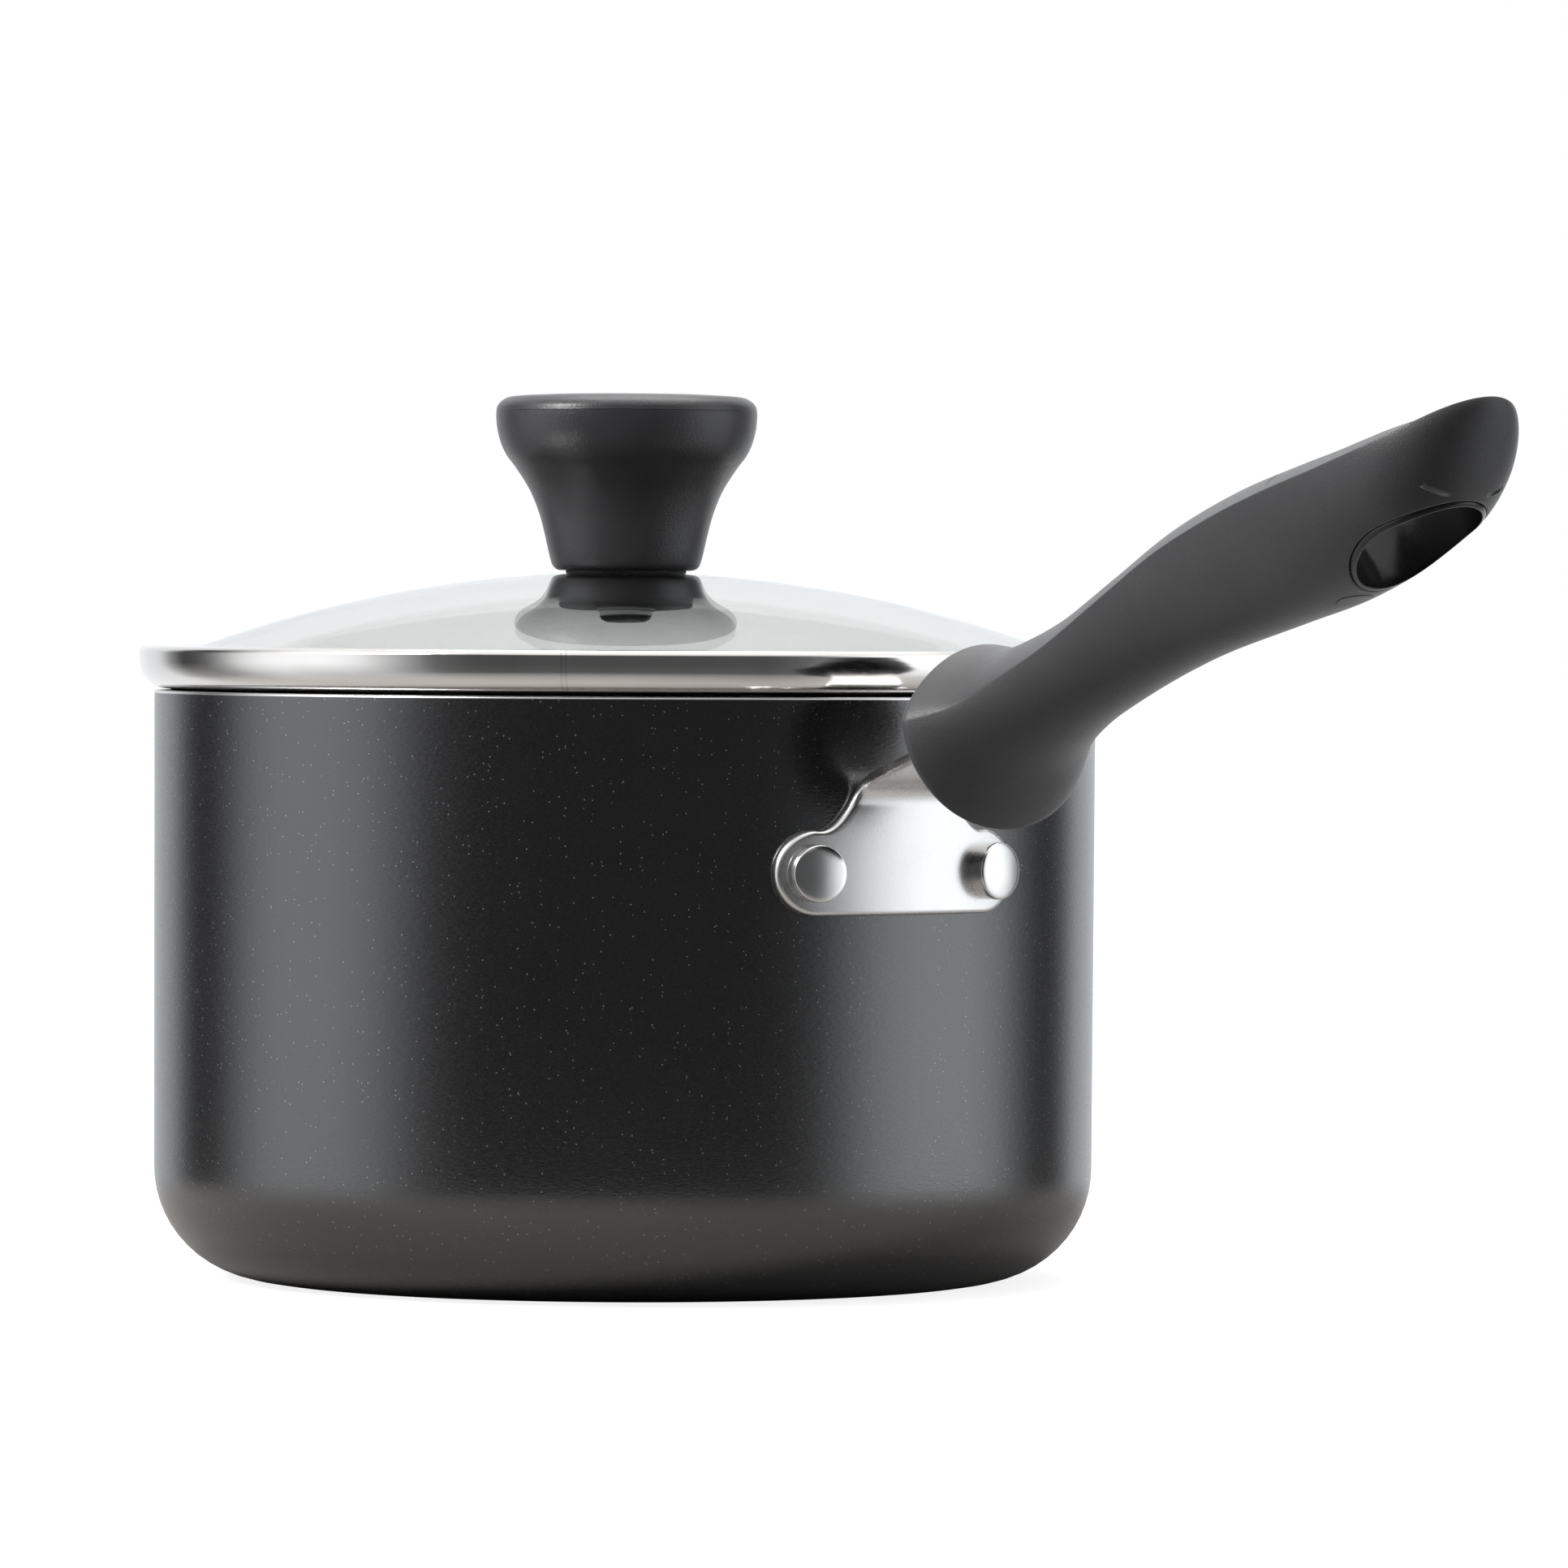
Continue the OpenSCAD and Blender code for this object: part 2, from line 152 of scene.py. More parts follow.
# A new material with one principled shader, whose inputs take the values given
def newFinish(name, **values):
    finish = bpy.data.materials.new(name)
    finish.use_nodes = True
    tree = finish.node_tree
    tree.nodes.clear()
    shader = tree.nodes.new("ShaderNodeBsdfPrincipled")
    out = tree.nodes.new("ShaderNodeOutputMaterial")
    tree.links.new(shader.outputs["BSDF"], out.inputs["Surface"])
    for key, value in values.items():
        shader.inputs[key.replace("_", " ")].default_value = value
    return finish, tree, shader


# A node with its inputs: another node's output is linked, a plain value is set
def addNode(tree, kind, inputs, **settings):
    made = tree.nodes.new("ShaderNode" + kind)
    for key, value in settings.items():
        setattr(made, key, value)
    for key, value in inputs.items():
        if isinstance(value, bpy.types.NodeSocket):
            tree.links.new(value, made.inputs[key])
        else:
            made.inputs[key].default_value = value
    return made


# The piece's own coordinates, stretched by "squeeze" along each axis
def placeOn(tree, squeeze=(1, 1, 1)):
    where = addNode(tree, "TexCoord", {})
    return addNode(tree, "Mapping", {"Vector": where.outputs["Object"], "Scale": squeeze}).outputs["Vector"]


# Noise with features of a given size in metres
def grain(tree, size, squeeze=(1, 1, 1), detail=2.0, rough=0.5):
    return addNode(tree, "TexNoise", {"Vector": placeOn(tree, squeeze), "Scale": 1 / size, "Detail": detail,
                                      "Roughness": rough}).outputs["Fac"]


# Value moved from one range to another and held at its ends
def remap(tree, value, low, high, toLow, toHigh):
    return addNode(tree, "MapRange", {"Value": value, "From Min": low, "From Max": high,
                                      "To Min": toLow, "To Max": toHigh}).outputs["Result"]


def compute(tree, operation, a, b=0.0, c=0.0):
    return addNode(tree, "Math", {0: a, 1: b, 2: c}, operation=operation).outputs[0]


def times(tree, a, b):
    return compute(tree, "MULTIPLY", a, b)


def plus(tree, a, b):
    return compute(tree, "ADD", a, b)


# (x, y) turned by an angle: ahead = x cos + y sin, across = y cos - x sin
def turned(tree, x, y, angle):
    c, s = math.cos(angle), math.sin(angle)
    ahead = plus(tree, times(tree, x, c), times(tree, y, s))
    return ahead, compute(tree, "SUBTRACT", times(tree, y, c), times(tree, x, s))


# Colour a where the share is 0, b where it is 1
def mixColour(tree, share, a, b):
    made = addNode(tree, "Mix", {}, data_type="RGBA")
    for index, value in ((0, share), (6, a), (7, b)):
        if isinstance(value, bpy.types.NodeSocket):
            tree.links.new(value, made.inputs[index])
        else:
            made.inputs[index].default_value = value
    return made.outputs[2]


# A grey, a little redder by "warm"
def grey(level, warm=0.0):
    return (level * (1 + warm), level, level * (1 - warm), 1)


# Bump from a height, in metres, added over an earlier bump if there is one
def addBump(tree, shader, height, depth, strength=1.0, before=None):
    inputs = {"Height": height, "Distance": depth, "Strength": strength}
    if before is not None:
        inputs["Normal"] = before
    made = addNode(tree, "Bump", inputs).outputs["Normal"]
    tree.links.new(made, shader.inputs["Normal"])
    return made


# Links results to the shader's colour, roughness and so on
def feed(tree, shader, **results):
    for key, result in results.items():
        tree.links.new(result, shader.inputs[key.replace("_", " ")])


# A noise value whose middle part is spread over low to high
def clouds(tree, value, low=0, high=1):
    return remap(tree, value, 0.3, 0.7, low, high)


# Small bright flecks: cells of a given size, of which only some hold a fleck near their centre
def flecks(tree, size, share, radius):
    cells = addNode(tree, "TexVoronoi", {"Vector": placeOn(tree), "Scale": 1 / size})
    near = remap(tree, cells.outputs["Distance"], radius, radius * 0.5, 0, 1)
    draw = addNode(tree, "SeparateColor", {"Color": cells.outputs["Color"]}).outputs[0]
    return times(tree, near, compute(tree, "LESS_THAN", draw, share))


pan = {
    "wall": 2.3 * mm,
    "base": 3.6 * mm,
    "cornerRadius": 19.5 * mm,
    "insideCorner": 17 * mm,
    "draft": 0.3 * mm,
    "rimRadius": 0.5 * mm,
    "bareRim": 0.9 * mm,          # height of the uncoated turned edge
    "coatLine": 19 * mm,          # the bumpy coat ends here
    "grooves": 13,                # turned rings under the base
    "grooveDepth": 0.12 * mm,
    "charcoal": (0.0020, 0.0016, 0.0021, 1),
    "charcoalPale": (0.0036, 0.0031, 0.0039, 1),
    "fleck": (0.40, 0.42, 0.46, 1),
    "roughness": 0.22,
}
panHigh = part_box("pan_body")[1]
panR, panH = panHigh.x, panHigh.z


# Outside coat: charcoal, bright flecks, roughness = even grain around the base value, and a
# height of long flat ripples that fades out below the coat line
def coatFinish():
    finish, tree, shader = newFinish("satin charcoal coat", Roughness=pan["roughness"], IOR=2.05)
    height = addNode(tree, "SeparateXYZ", {"Vector": placeOn(tree)}).outputs["Z"]
    edge = compute(tree, "MULTIPLY_ADD", grain(tree, 3 * mm, detail=3), 2.2 * mm, height)
    bumpy = remap(tree, edge, pan["coatLine"] + 0.4 * mm, pan["coatLine"] + 1.8 * mm, 0.12, 1)
    cloud = grain(tree, 9 * mm, (1, 1, 1.6), 4)
    tint = mixColour(tree, clouds(tree, cloud), pan["charcoal"], pan["charcoalPale"])
    dots = flecks(tree, 0.95 * mm, 0.40, 0.16)
    tint = mixColour(tree, times(tree, dots, 0.8), tint, pan["fleck"])
    dull = clouds(tree, grain(tree, 0.5 * mm, (1, 1, 2.5)), pan["roughness"] - 0.05, pan["roughness"] + 0.06)
    feed(tree, shader, Base_Color=tint, Metallic=times(tree, dots, 0.6), Roughness=dull)
    ripple = grain(tree, 1.25 * mm, (1, 1, 3.6), 2.5, 0.45)
    first = addBump(tree, shader, times(tree, ripple, bumpy), 0.024 * mm)
    addBump(tree, shader, grain(tree, 0.22 * mm, detail=1), 0.006 * mm, before=first)
    return finish


# Bare turned aluminium: fine lines round the axis, as noise along radius + height
def turnedFinish(name, level, roughness, lineSize=0.12 * mm):
    finish, tree, shader = newFinish(name, Metallic=1.0, Roughness=roughness)
    where = addNode(tree, "SeparateXYZ", {"Vector": placeOn(tree)})
    x, y, z = where.outputs[0], where.outputs[1], where.outputs[2]
    radius = compute(tree, "SQRT", plus(tree, times(tree, x, x), times(tree, y, y)))
    inputs = {"W": plus(tree, radius, z), "Scale": 1 / lineSize, "Detail": 3.0}
    lines = addNode(tree, "TexNoise", inputs, noise_dimensions="1D").outputs["Fac"]
    feed(tree, shader, Base_Color=mixColour(tree, lines, grey(level * 0.8), grey(level)),
         Roughness=remap(tree, lines, 0.2, 0.8, roughness - 0.08, roughness + 0.1))
    addBump(tree, shader, lines, 0.01 * mm)
    return finish


# Nonstick lining: dark grey with pale specks and a fine pebble height
def liningFinish():
    finish, tree, shader = newFinish("dark nonstick lining", Roughness=0.42)
    tint = mixColour(tree, grain(tree, 4 * mm, detail=4), (0.017, 0.017, 0.018, 1), (0.028, 0.028, 0.03, 1))
    dots = times(tree, flecks(tree, 0.9 * mm, 0.35, 0.22), 0.6)
    feed(tree, shader, Base_Color=mixColour(tree, dots, tint, grey(0.3)))
    addBump(tree, shader, grain(tree, 0.5 * mm, detail=2), 0.02 * mm)
    return finish


# Wall and base as one turned line: underside with rings z = depth*(0.5-0.5cos), round corner,
# slightly drafted wall, round rim, and the same inside
def panProfile():
    line = softLine(
        [(panR - pan["draft"] - pan["cornerRadius"], 0), (panR - pan["draft"], 0), (panR, panH),
         (panR - pan["wall"], panH), (panR - pan["wall"] - pan["draft"], pan["base"]), (0, pan["base"])],
        [pan["cornerRadius"], pan["rimRadius"], pan["rimRadius"], pan["insideCorner"]], 14)
    ringEnd = panR - pan["draft"] - pan["cornerRadius"] - 3 * mm
    r = np.linspace(0, ringEnd, pan["grooves"] * 6 + 1)
    under = np.stack([r, pan["grooveDepth"] * (0.5 - 0.5 * np.cos(tau * pan["grooves"] * r / ringEnd))], 1)
    return finer(np.concatenate([under, line]), 3 * mm)


# Which finish a face of the pan takes: 0 coat, 1 bare rim, 2 lining, 3 turned underside
def panZones(middle):
    r, z = np.hypot(middle[:, 0], middle[:, 1]), middle[:, 2]
    inside = (z > pan["base"] * 0.9) & (r < panR - pan["wall"] * 0.5) & (
        np.hypot(np.maximum(r - (panR - pan["wall"] - pan["draft"] - pan["insideCorner"]), 0),
                 np.minimum(z - pan["base"] - pan["insideCorner"], 0)) < pan["insideCorner"] + 0.3 * mm)
    zones = np.where(inside, 2, 0)
    zones = np.where(z > panH - pan["bareRim"], 1, zones)
    return np.where((z < 0.5 * mm) & (r < panR - pan["cornerRadius"] - 2 * mm), 3, zones)


makePiece("panShell", [{"grid": spin(panProfile(), 256), "closeCols": True, "finish": panZones}],
          [coatFinish(), turnedFinish("bare turned rim", 0.86, 0.28),
           liningFinish(), turnedFinish("turned underside", 0.66, 0.3, 0.3 * mm)],
          "pan", ["pan_body"])


# Brushed or polished steel: hair-fine lines across one axis, cloudy roughness, a trace of warmth
def steelFinish(name, level, roughness, squeeze, warm=0.02, lineSize=0.5 * mm, depth=0.004 * mm, seam=False):
    finish, tree, shader = newFinish(name, Metallic=1.0, Roughness=roughness)
    lines = grain(tree, lineSize, squeeze, 3, 0.6)
    cloud = grain(tree, 7 * mm, detail=3)
    tint = mixColour(tree, clouds(tree, cloud), grey(level * 0.95, warm), grey(level, warm * 0.8))
    if seam:
        tint = mixColour(tree, times(tree, seamMark(tree), 0.45), tint, grey(level * 0.5, warm * 2))
    dull = clouds(tree, cloud, roughness * 0.85, roughness * 1.15)
    dull = plus(tree, dull, clouds(tree, lines, -0.02, 0.03))
    feed(tree, shader, Base_Color=tint, Roughness=dull)
    addBump(tree, shader, lines, depth)
    return finish


# Bracket: one steel plate round the wall, bent out into a tang
bracket = {
    "thick": 2 * mm,
    "edge": 0.85 * mm,
    "lobe": 7.2 * mm,
    "lobeShift": -0.4 * mm,        # middle of a lobe, from its rivet's axis
    "neck": 9.7 * mm,
    # outline from a lobe to the neck: half width, and height above the lobes
    "flare": [(16.2, -0.05), (14.8, 0.5), (13.4, 1.6), (12.1, 3.1), (10.9, 4.9), (10.1, 6.6), (9.7, 8.9)],
    "tangHalf": 6 * mm,
    "bendRadius": 4 * mm,
    "rivetAngle": math.radians(12.4),
    "rivetDrop": 29.5 * mm,
    "bendDrop": 18.25 * mm,
    "tangSlope": math.radians(17.7),
    "neckFrom": 10.2 * mm,         # straight part of the neck and the taper, above the lobes
    "neckTo": 30 * mm,
    "taperTo": 38 * mm,
    "tang": [(29.5, -5.5), (43.5, 1.6), (85.5, 19.6), (111.5, 26.6)],
}
rivetZ = panH - bracket["rivetDrop"]
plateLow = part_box("handle_bracket")[0].z


# Middle line of the plate in (radius, height): up the wall, round the bend, out along the tang
def plateLine():
    midR = panR + bracket["thick"] / 2
    cx, cz = panR + bracket["thick"] + bracket["bendRadius"], panH - bracket["bendDrop"]
    turn = np.linspace(math.pi, math.pi / 2 + bracket["tangSlope"], 13)
    rad = bracket["bendRadius"] + bracket["thick"] / 2
    bend = np.stack([cx + rad * np.cos(turn), cz + rad * np.sin(turn)], 1)
    tang = np.array(bracket["tang"]) * mm + (panR, panH)
    tang = softLine(np.concatenate([bend[-1:], tang]), [60 * mm, 60 * mm, 60 * mm], 6)[1:]
    return finer(np.concatenate([[(midR, plateLow)], bend, tang]), 1.5 * mm)


# Plate point at distance s along the line, y across and n off the middle: the line gives
# (radius, height), the normal adds n, and x = sqrt(radius^2 - y^2) wraps it round the pan
def platePoint(s, y, n):
    line = plateLine()
    length = np.concatenate([[0], np.cumsum(np.linalg.norm(np.diff(line, axis=0), axis=1))])
    r, z = np.interp(s, length, line[:, 0]), np.interp(s, length, line[:, 1])
    step = 0.8 * mm
    dr = np.interp(s + step, length, line[:, 0]) - np.interp(s - step, length, line[:, 0])
    dz = np.interp(s + step, length, line[:, 1]) - np.interp(s - step, length, line[:, 1])
    size = np.hypot(dr, dz)
    r, z = r + n * dz / size, z - n * dr / size
    return np.stack([np.sqrt(r ** 2 - y ** 2), y, z], -1)


# Right half of the outline as (y, s): flat foot, round lobe, flare to the neck, taper, tang end
def plateOutline():
    lobeY = panR * math.sin(bracket["rivetAngle"]) + bracket["lobeShift"]
    lobeS, line = rivetZ - plateLow, plateLine()
    total = np.linalg.norm(np.diff(line, axis=0), axis=1).sum()
    foot = np.stack([np.linspace(0, lobeY, 20, endpoint=False), np.zeros(20)], 1)
    turn = np.radians(np.linspace(-90, 84, 36))
    lobe = np.stack([lobeY + bracket["lobe"] * np.cos(turn), lobeS + bracket["lobe"] * np.sin(turn)], 1)
    top = lobeS + bracket["lobe"]
    flare = smoothLine(np.concatenate([lobe[-1:], np.array(bracket["flare"]) * mm + (0, top)]), 5)[1:]
    wide, narrow = bracket["neck"], bracket["tangHalf"]
    neck = finer(np.array([(wide, top + bracket["neckFrom"]), (wide, top + bracket["neckTo"]),
                           (narrow, top + bracket["taperTo"]), (narrow, total - 1 * mm)]), 1.5 * mm)
    end = np.stack([np.linspace(narrow, 0, 8)[1:], np.full(7, total)], 1)
    half = np.concatenate([foot, lobe, flare, neck, end])
    mirror = half[-2:0:-1] * (-1, 1)
    return np.concatenate([half, mirror])


# Plate as rings from the front spine, over a rounded edge, to the back spine: a ring is the
# outline drawn in along its own normal, or shrunk towards the middle line
def plateRings():
    line = plateOutline()
    ahead, behind = np.roll(line, -1, 0), np.roll(line, 1, 0)
    along = (ahead - behind) / np.linalg.norm(ahead - behind, axis=1)[:, None]
    inward = np.stack([-along[:, 1], along[:, 0]], 1)
    total = line[:, 1].max()
    spine = np.stack([0 * line[:, 0], np.clip(line[:, 1], 3 * mm, total - 3 * mm)], 1)
    half, edge = bracket["thick"] / 2, bracket["edge"]
    turn = np.radians(np.linspace(90, 0, 7))
    draw = np.concatenate([edge * (1 - np.cos(turn)), edge * (1 - np.cos(turn[::-1]))])
    lift = np.concatenate([half - edge + edge * np.sin(turn), -(half - edge + edge * np.sin(turn[::-1]))])
    rim = line[None] + inward[None] * draw[:, None, None]
    shrink = np.linspace(0, 1, 11)[:-1][:, None, None]
    front = spine[None] + (rim[:1] - spine[None]) * shrink
    back = spine[None] + (rim[-1:] - spine[None]) * shrink[::-1]
    rings = np.concatenate([front, rim, back])
    n = np.concatenate([np.full(10, half), lift, np.full(10, -half)])[:, None] + 0 * rings[..., 0]
    return platePoint(rings[..., 1], rings[..., 0], n)


makePiece("bracketPlate", [{"grid": plateRings(), "closeCols": True}],
          [steelFinish("bright bracket steel", 0.72, 0.26, (1, 1, 0.12), 0.012, 0.16 * mm, 0.003 * mm)],
          "pan", ["handle_bracket"], sharp=50)


rivet = {"d": 9.7 * mm, "head": 3.5 * mm, "shank": 3 * mm, "edge": 0.4 * mm,
         "crown": 0.6 * mm, "insideR": 6.5 * mm, "insideT": 1.5 * mm}
plateR = panR + bracket["thick"]
innerR = panR - pan["wall"]


# Grid turned about z, moved so that its own z axis points out from the pan through a rivet
def atRivet(grid, side):
    a = side * bracket["rivetAngle"]
    x, y, z = grid[..., 0], grid[..., 1], grid[..., 2]
    return np.stack([z * math.cos(a) - y * math.sin(a), z * math.sin(a) + y * math.cos(a), rivetZ - x], -1)


# Turned rivet: low head inside, shank, and an outside head z = top - 0.9*crown*(r/R)^2
def rivetProfile():
    r, base = rivet["d"] / 2, plateR - 0.4 * mm
    top, crown = plateR + rivet["head"], rivet["crown"]
    wide, inside, sunk = rivet["insideR"], innerR - rivet["insideT"], innerR - 0.2 * mm
    dome = np.linspace(0, 1, 8)[1:]
    low = np.stack([wide * 0.92 * dome[:-1], inside + 0.5 * mm * dome[:-1] ** 2], 1)
    lowEdge = softLine([(wide * 0.92, inside + 0.5 * mm), (wide, inside + 0.75 * mm), (wide, sunk)],
                       [0.3 * mm], 4)
    side = softLine([(rivet["shank"], sunk), (rivet["shank"], base + 0.05 * mm),
                     (r - 0.4 * mm, base + 0.05 * mm), (r, base + 0.35 * mm), (r, top - crown),
                     (r * 0.86, top - crown * 0.66)],
                    [0.02 * mm, 0.02 * mm, 0.12 * mm, rivet["edge"]], 5)
    q = np.linspace(0.86, 0, 12)[1:]
    cap = np.stack([r * q, top - crown * q ** 2 * 0.9], 1)
    return np.concatenate([[(0, inside)], low, lowEdge, side, cap])


rivetSteel = steelFinish("bright rivet steel", 0.76, 0.19, (1, 1, 1), 0.01, 0.22 * mm, 0.006 * mm)
for side, word in ((-1, "left"), (1, "right")):
    turnedRivet = atRivet(spin(rivetProfile(), 72), side)
    makePiece("rivet" + word.capitalize(), [{"grid": turnedRivet, "closeCols": True}],
              [rivetSteel], "pan", ["rivet_" + word], sharp=60)


handle = {
    # out and up from the pan's rim, half width, crown above the edge line, belly below it
    "stations": [(26.5, -3.9, 19.0, 13.2, 18.0), (34.5, -1.3, 15.4, 10.2, 11.0),
                 (43.5, 3.1, 13.4, 8.0, 9.8), (55.5, 8.9, 12.4, 6.6, 10.6),
                 (70.5, 16.7, 12.4, 6.2, 13.0), (85.5, 23.9, 13.2, 6.2, 15.8),
                 (101.5, 29.5, 14.6, 6.0, 17.4), (116.5, 33.7, 15.8, 5.4, 17.8),
                 (131.5, 37.9, 15.2, 4.8, 16.2), (143.5, 42.1, 13.8, 3.8, 12.8),
                 (155.0, 48.5, 12.6, 0.6, 5.8)],
    "tipLength": 18,
    "mouthLean": math.radians(10),
    "crownRound": 0.4,             # share of a plain half oval in the crown at the mouth
    "lip": 2.2,                    # radius of the mouth's outer edge, and of its inner edge
    "lipBack": 0.8,
    "mouthWall": 3.4,
    "skin": 2.0,
    "coreFrom": 1.1,               # the core's ends, counted in stations
    "coreTo": 9.6,
    "crease": 0.14,                # how far the edge line's rounding reaches
    "holeOut": 129.0,
    "holeUp": 37.2,
    "holeLean": math.radians(35),
    "holeHalf": (13.4, 9.8),       # along and across
    "liner": 0.9,
    "holeEdge": 0.6,
    "columns": 44,
    "holeSteps": 33,
    "skinRows": (110, 26),         # rows before and after the hole
    "insideRows": (40, 10),
    "coreRows": (60, 12),
}
plug = {"radius": 3.0, "beforeHole": 4.8, "rise": 0.1}
stationTable = np.array(handle["stations"])
lastStation = len(stationTable) - 1
stationTable = np.concatenate([2 * stationTable[:1] - stationTable[1:2], stationTable,
                               2 * stationTable[-1:] - stationTable[-2:-1]])
holeAxis = np.array([-math.sin(handle["holeLean"]), 0, math.cos(handle["holeLean"])])
holeAlong = np.array([math.cos(handle["holeLean"]), 0, math.sin(handle["holeLean"])])
holeMiddle = np.array([handle["holeOut"], 0, handle["holeUp"]])


# Station values at any position u, by cubic blends of the four nearest stations
def stationAt(u):
    k = np.clip(np.floor(u).astype(int), 0, lastStation - 1)
    f = (u - k)[..., None]
    a, b, c, d = stationTable[k], stationTable[k + 1], stationTable[k + 2], stationTable[k + 3]
    return 0.5 * (2 * b + (c - a) * f + (2 * a - 5 * b + 4 * c - d) * f ** 2
                  + (3 * b - a - 3 * c + d) * f ** 3)


# Half sizes of a section: they shrink as a quarter circle towards the tip, less the inset
def sectionAt(u, inset):
    s = stationAt(u)
    q = np.clip((s[..., 0] - stationTable[-2, 0] + handle["tipLength"]) / handle["tipLength"], 0, 1)
    f = np.sqrt(1 - q ** 2)
    width, crown, belly = (np.maximum(s[..., i] * f - inset, 0) for i in (2, 3, 4))
    return s, width, crown, belly


# Handle point in millimetres from the rim's centre line: across = width*cos(angle), above the
# edge line crown*((1-m)sin^2+m sin), below it belly*sin; sections lean to the mouth's angle
def handlePoint(u, angle, inset=0.0, ahead=0.0, size=1.0):
    s, w, c, b = sectionAt(u, inset)
    before, after = stationAt(np.maximum(u - 0.01, 0)), stationAt(np.minimum(u + 0.01, lastStation))
    slope = np.arctan2(after[..., 1] - before[..., 1], after[..., 0] - before[..., 0])
    k = np.clip(1 - u / 2.5, 0, 1)
    lean = slope * (1 - k) + handle["mouthLean"] * k
    m = handle["crownRound"] * np.clip(1 - u / 3, 0, 1)
    sn = np.sin(angle)
    n = np.where(sn > 0, c * ((1 - m) * sn ** 2 + m * sn), b * sn) * size
    return np.stack([s[..., 0] + ahead * np.cos(lean) - n * np.sin(lean), w * np.cos(angle) * size,
                     s[..., 1] + ahead * np.sin(lean) + n * np.cos(lean)], -1)


# Where the handle's surface meets a line along the hole's axis, at "along" and "across" from
# the hole's middle: Newton steps on (u, angle) for a whole array at once
def surfaceAt(top, along, across, inset=0.0):
    side = 1.0 if top else -1.0
    u = 8.3 + (along + (-8 if top else 6) * math.sin(handle["holeLean"])) / 13.5
    width = sectionAt(u, inset)[1]
    angle = side * np.arccos(np.clip(across / width, -0.98, 0.98))

    def miss(u, angle):
        p = handlePoint(u, angle, inset) - holeMiddle
        return p @ holeAlong - along, p[..., 1] - across

    for _ in range(14):
        f, g = miss(u, angle)
        e = 1e-4
        fu, gu = miss(u + e, angle)
        fa, ga = miss(u, angle + e)
        fu, gu, fa, ga = (fu - f) / e, (gu - g) / e, (fa - f) / e, (ga - g) / e
        det = fu * ga - fa * gu
        u = u - np.clip((f * ga - fa * g) / det, -0.4, 0.4)
        angle = angle - np.clip((fu * g - f * gu) / det, -0.3, 0.3)
        u = np.clip(u, 0, lastStation - 0.01)
    return u, angle, handlePoint(u, angle, inset)


# Outline of the hole on the surface, half way round: the oval grown by "grow"
def holeLine(top, grow=0.0, inset=0.0):
    a, b = handle["holeHalf"]
    phase = np.linspace(0, math.pi, handle["holeSteps"])
    return surfaceAt(top, -(a + grow) * np.cos(phase), (b + grow) * np.sin(phase), inset)


# Positions of the rows on one side, and how far round each row reaches: rows run to the middle
# line before and after the hole, and stop at its outline between
def sideRows(top, rows, grow, inset, uFrom, uTo):
    before, after = rows
    u, angle, _ = holeLine(top, grow, inset)
    full = math.pi / 2 if top else -math.pi / 2
    t = np.linspace(0, 1, before, endpoint=False)
    start = uFrom + (u[0] - uFrom) * t
    tail = u[-1] + (uTo - u[-1]) * np.sin(np.linspace(0, math.pi / 2, after + 1)[1:])
    angle[0], angle[-1] = full, full
    reach = np.concatenate([np.full(before, full), angle, np.full(after, full)])
    return np.concatenate([start, u, tail]), reach


# Crown and belly grids of the right half with a rounded strip between them. Columns run from
# the edge line to the middle; a row's position slides from the shared one to the side's own
def halfGrids(uTop, reachTop, uLow, reachLow, inset=0.0, ahead=0.0, size=1.0):
    inset, ahead, size = inset + 0 * uTop, ahead + 0 * uTop, size + 0 * uTop
    uMid = (uTop + uLow) / 2
    _, w, c, b = sectionAt(uMid, inset)
    room = np.minimum(handle["crease"], 0.22 * np.minimum(b, 2 * c + 0.2)) + 1e-6
    m = handle["crownRound"] * np.clip(1 - uMid / 3, 0, 1)
    quad = np.hypot(w / 2, c * (1 - m)) + 1e-6
    startTop = np.minimum((-c * m + np.sqrt((c * m) ** 2 + 4 * quad * room)) / (2 * quad), 0.6)
    startLow = -np.minimum(room / np.maximum(b, 0.05), 0.6)
    share = np.linspace(0, 1, handle["columns"] + 1)[None, :]
    slide = share ** 2 * (3 - 2 * share)

    def grid(u, reach, start):
        angle = start[:, None] + (reach - start)[:, None] * share
        where = uMid[:, None] + (u - uMid)[:, None] * slide
        return handlePoint(where, angle, inset[:, None], ahead[:, None], size[:, None])

    top, low = grid(uTop, reachTop, startTop), grid(uLow, reachLow, startLow)
    corner = handlePoint(uMid, 0 * uMid, inset, ahead, size)[:, None]
    t = np.linspace(0, 1, 6)[None, :, None]
    strip = (1 - t) ** 2 * low[:, :1] + 2 * t * (1 - t) * corner + t ** 2 * top[:, :1]
    return top, low, strip


# Millimetres from the rim's centre line on the handle's side, into the frame
def toFrame(grid):
    return grid * mm + (panR, 0, panH)


# Both halves of a list of grids, the left one mirrored
def bothHalves(grids):
    return [toFrame(g) for g in grids] + [toFrame(g * (1, -1, 1)) for g in grids]


# Rounded turn from a to b about corner c, as columns
def roundTurn(a, c, b, steps=5):
    t = np.linspace(0, 1, steps + 1)[None, :, None]
    w = 0.75
    return ((1 - t) ** 2 * a[:, None] + 2 * t * (1 - t) * w * c[:, None] + t ** 2 * b[:, None]) / (
        (1 - t) ** 2 + 2 * t * (1 - t) * w + t ** 2)


# Straight columns between two lines
def ruled(a, b, steps=2):
    t = np.linspace(0, 1, steps + 1)[None, :, None]
    return a[:, None] * (1 - t) + b[:, None] * t


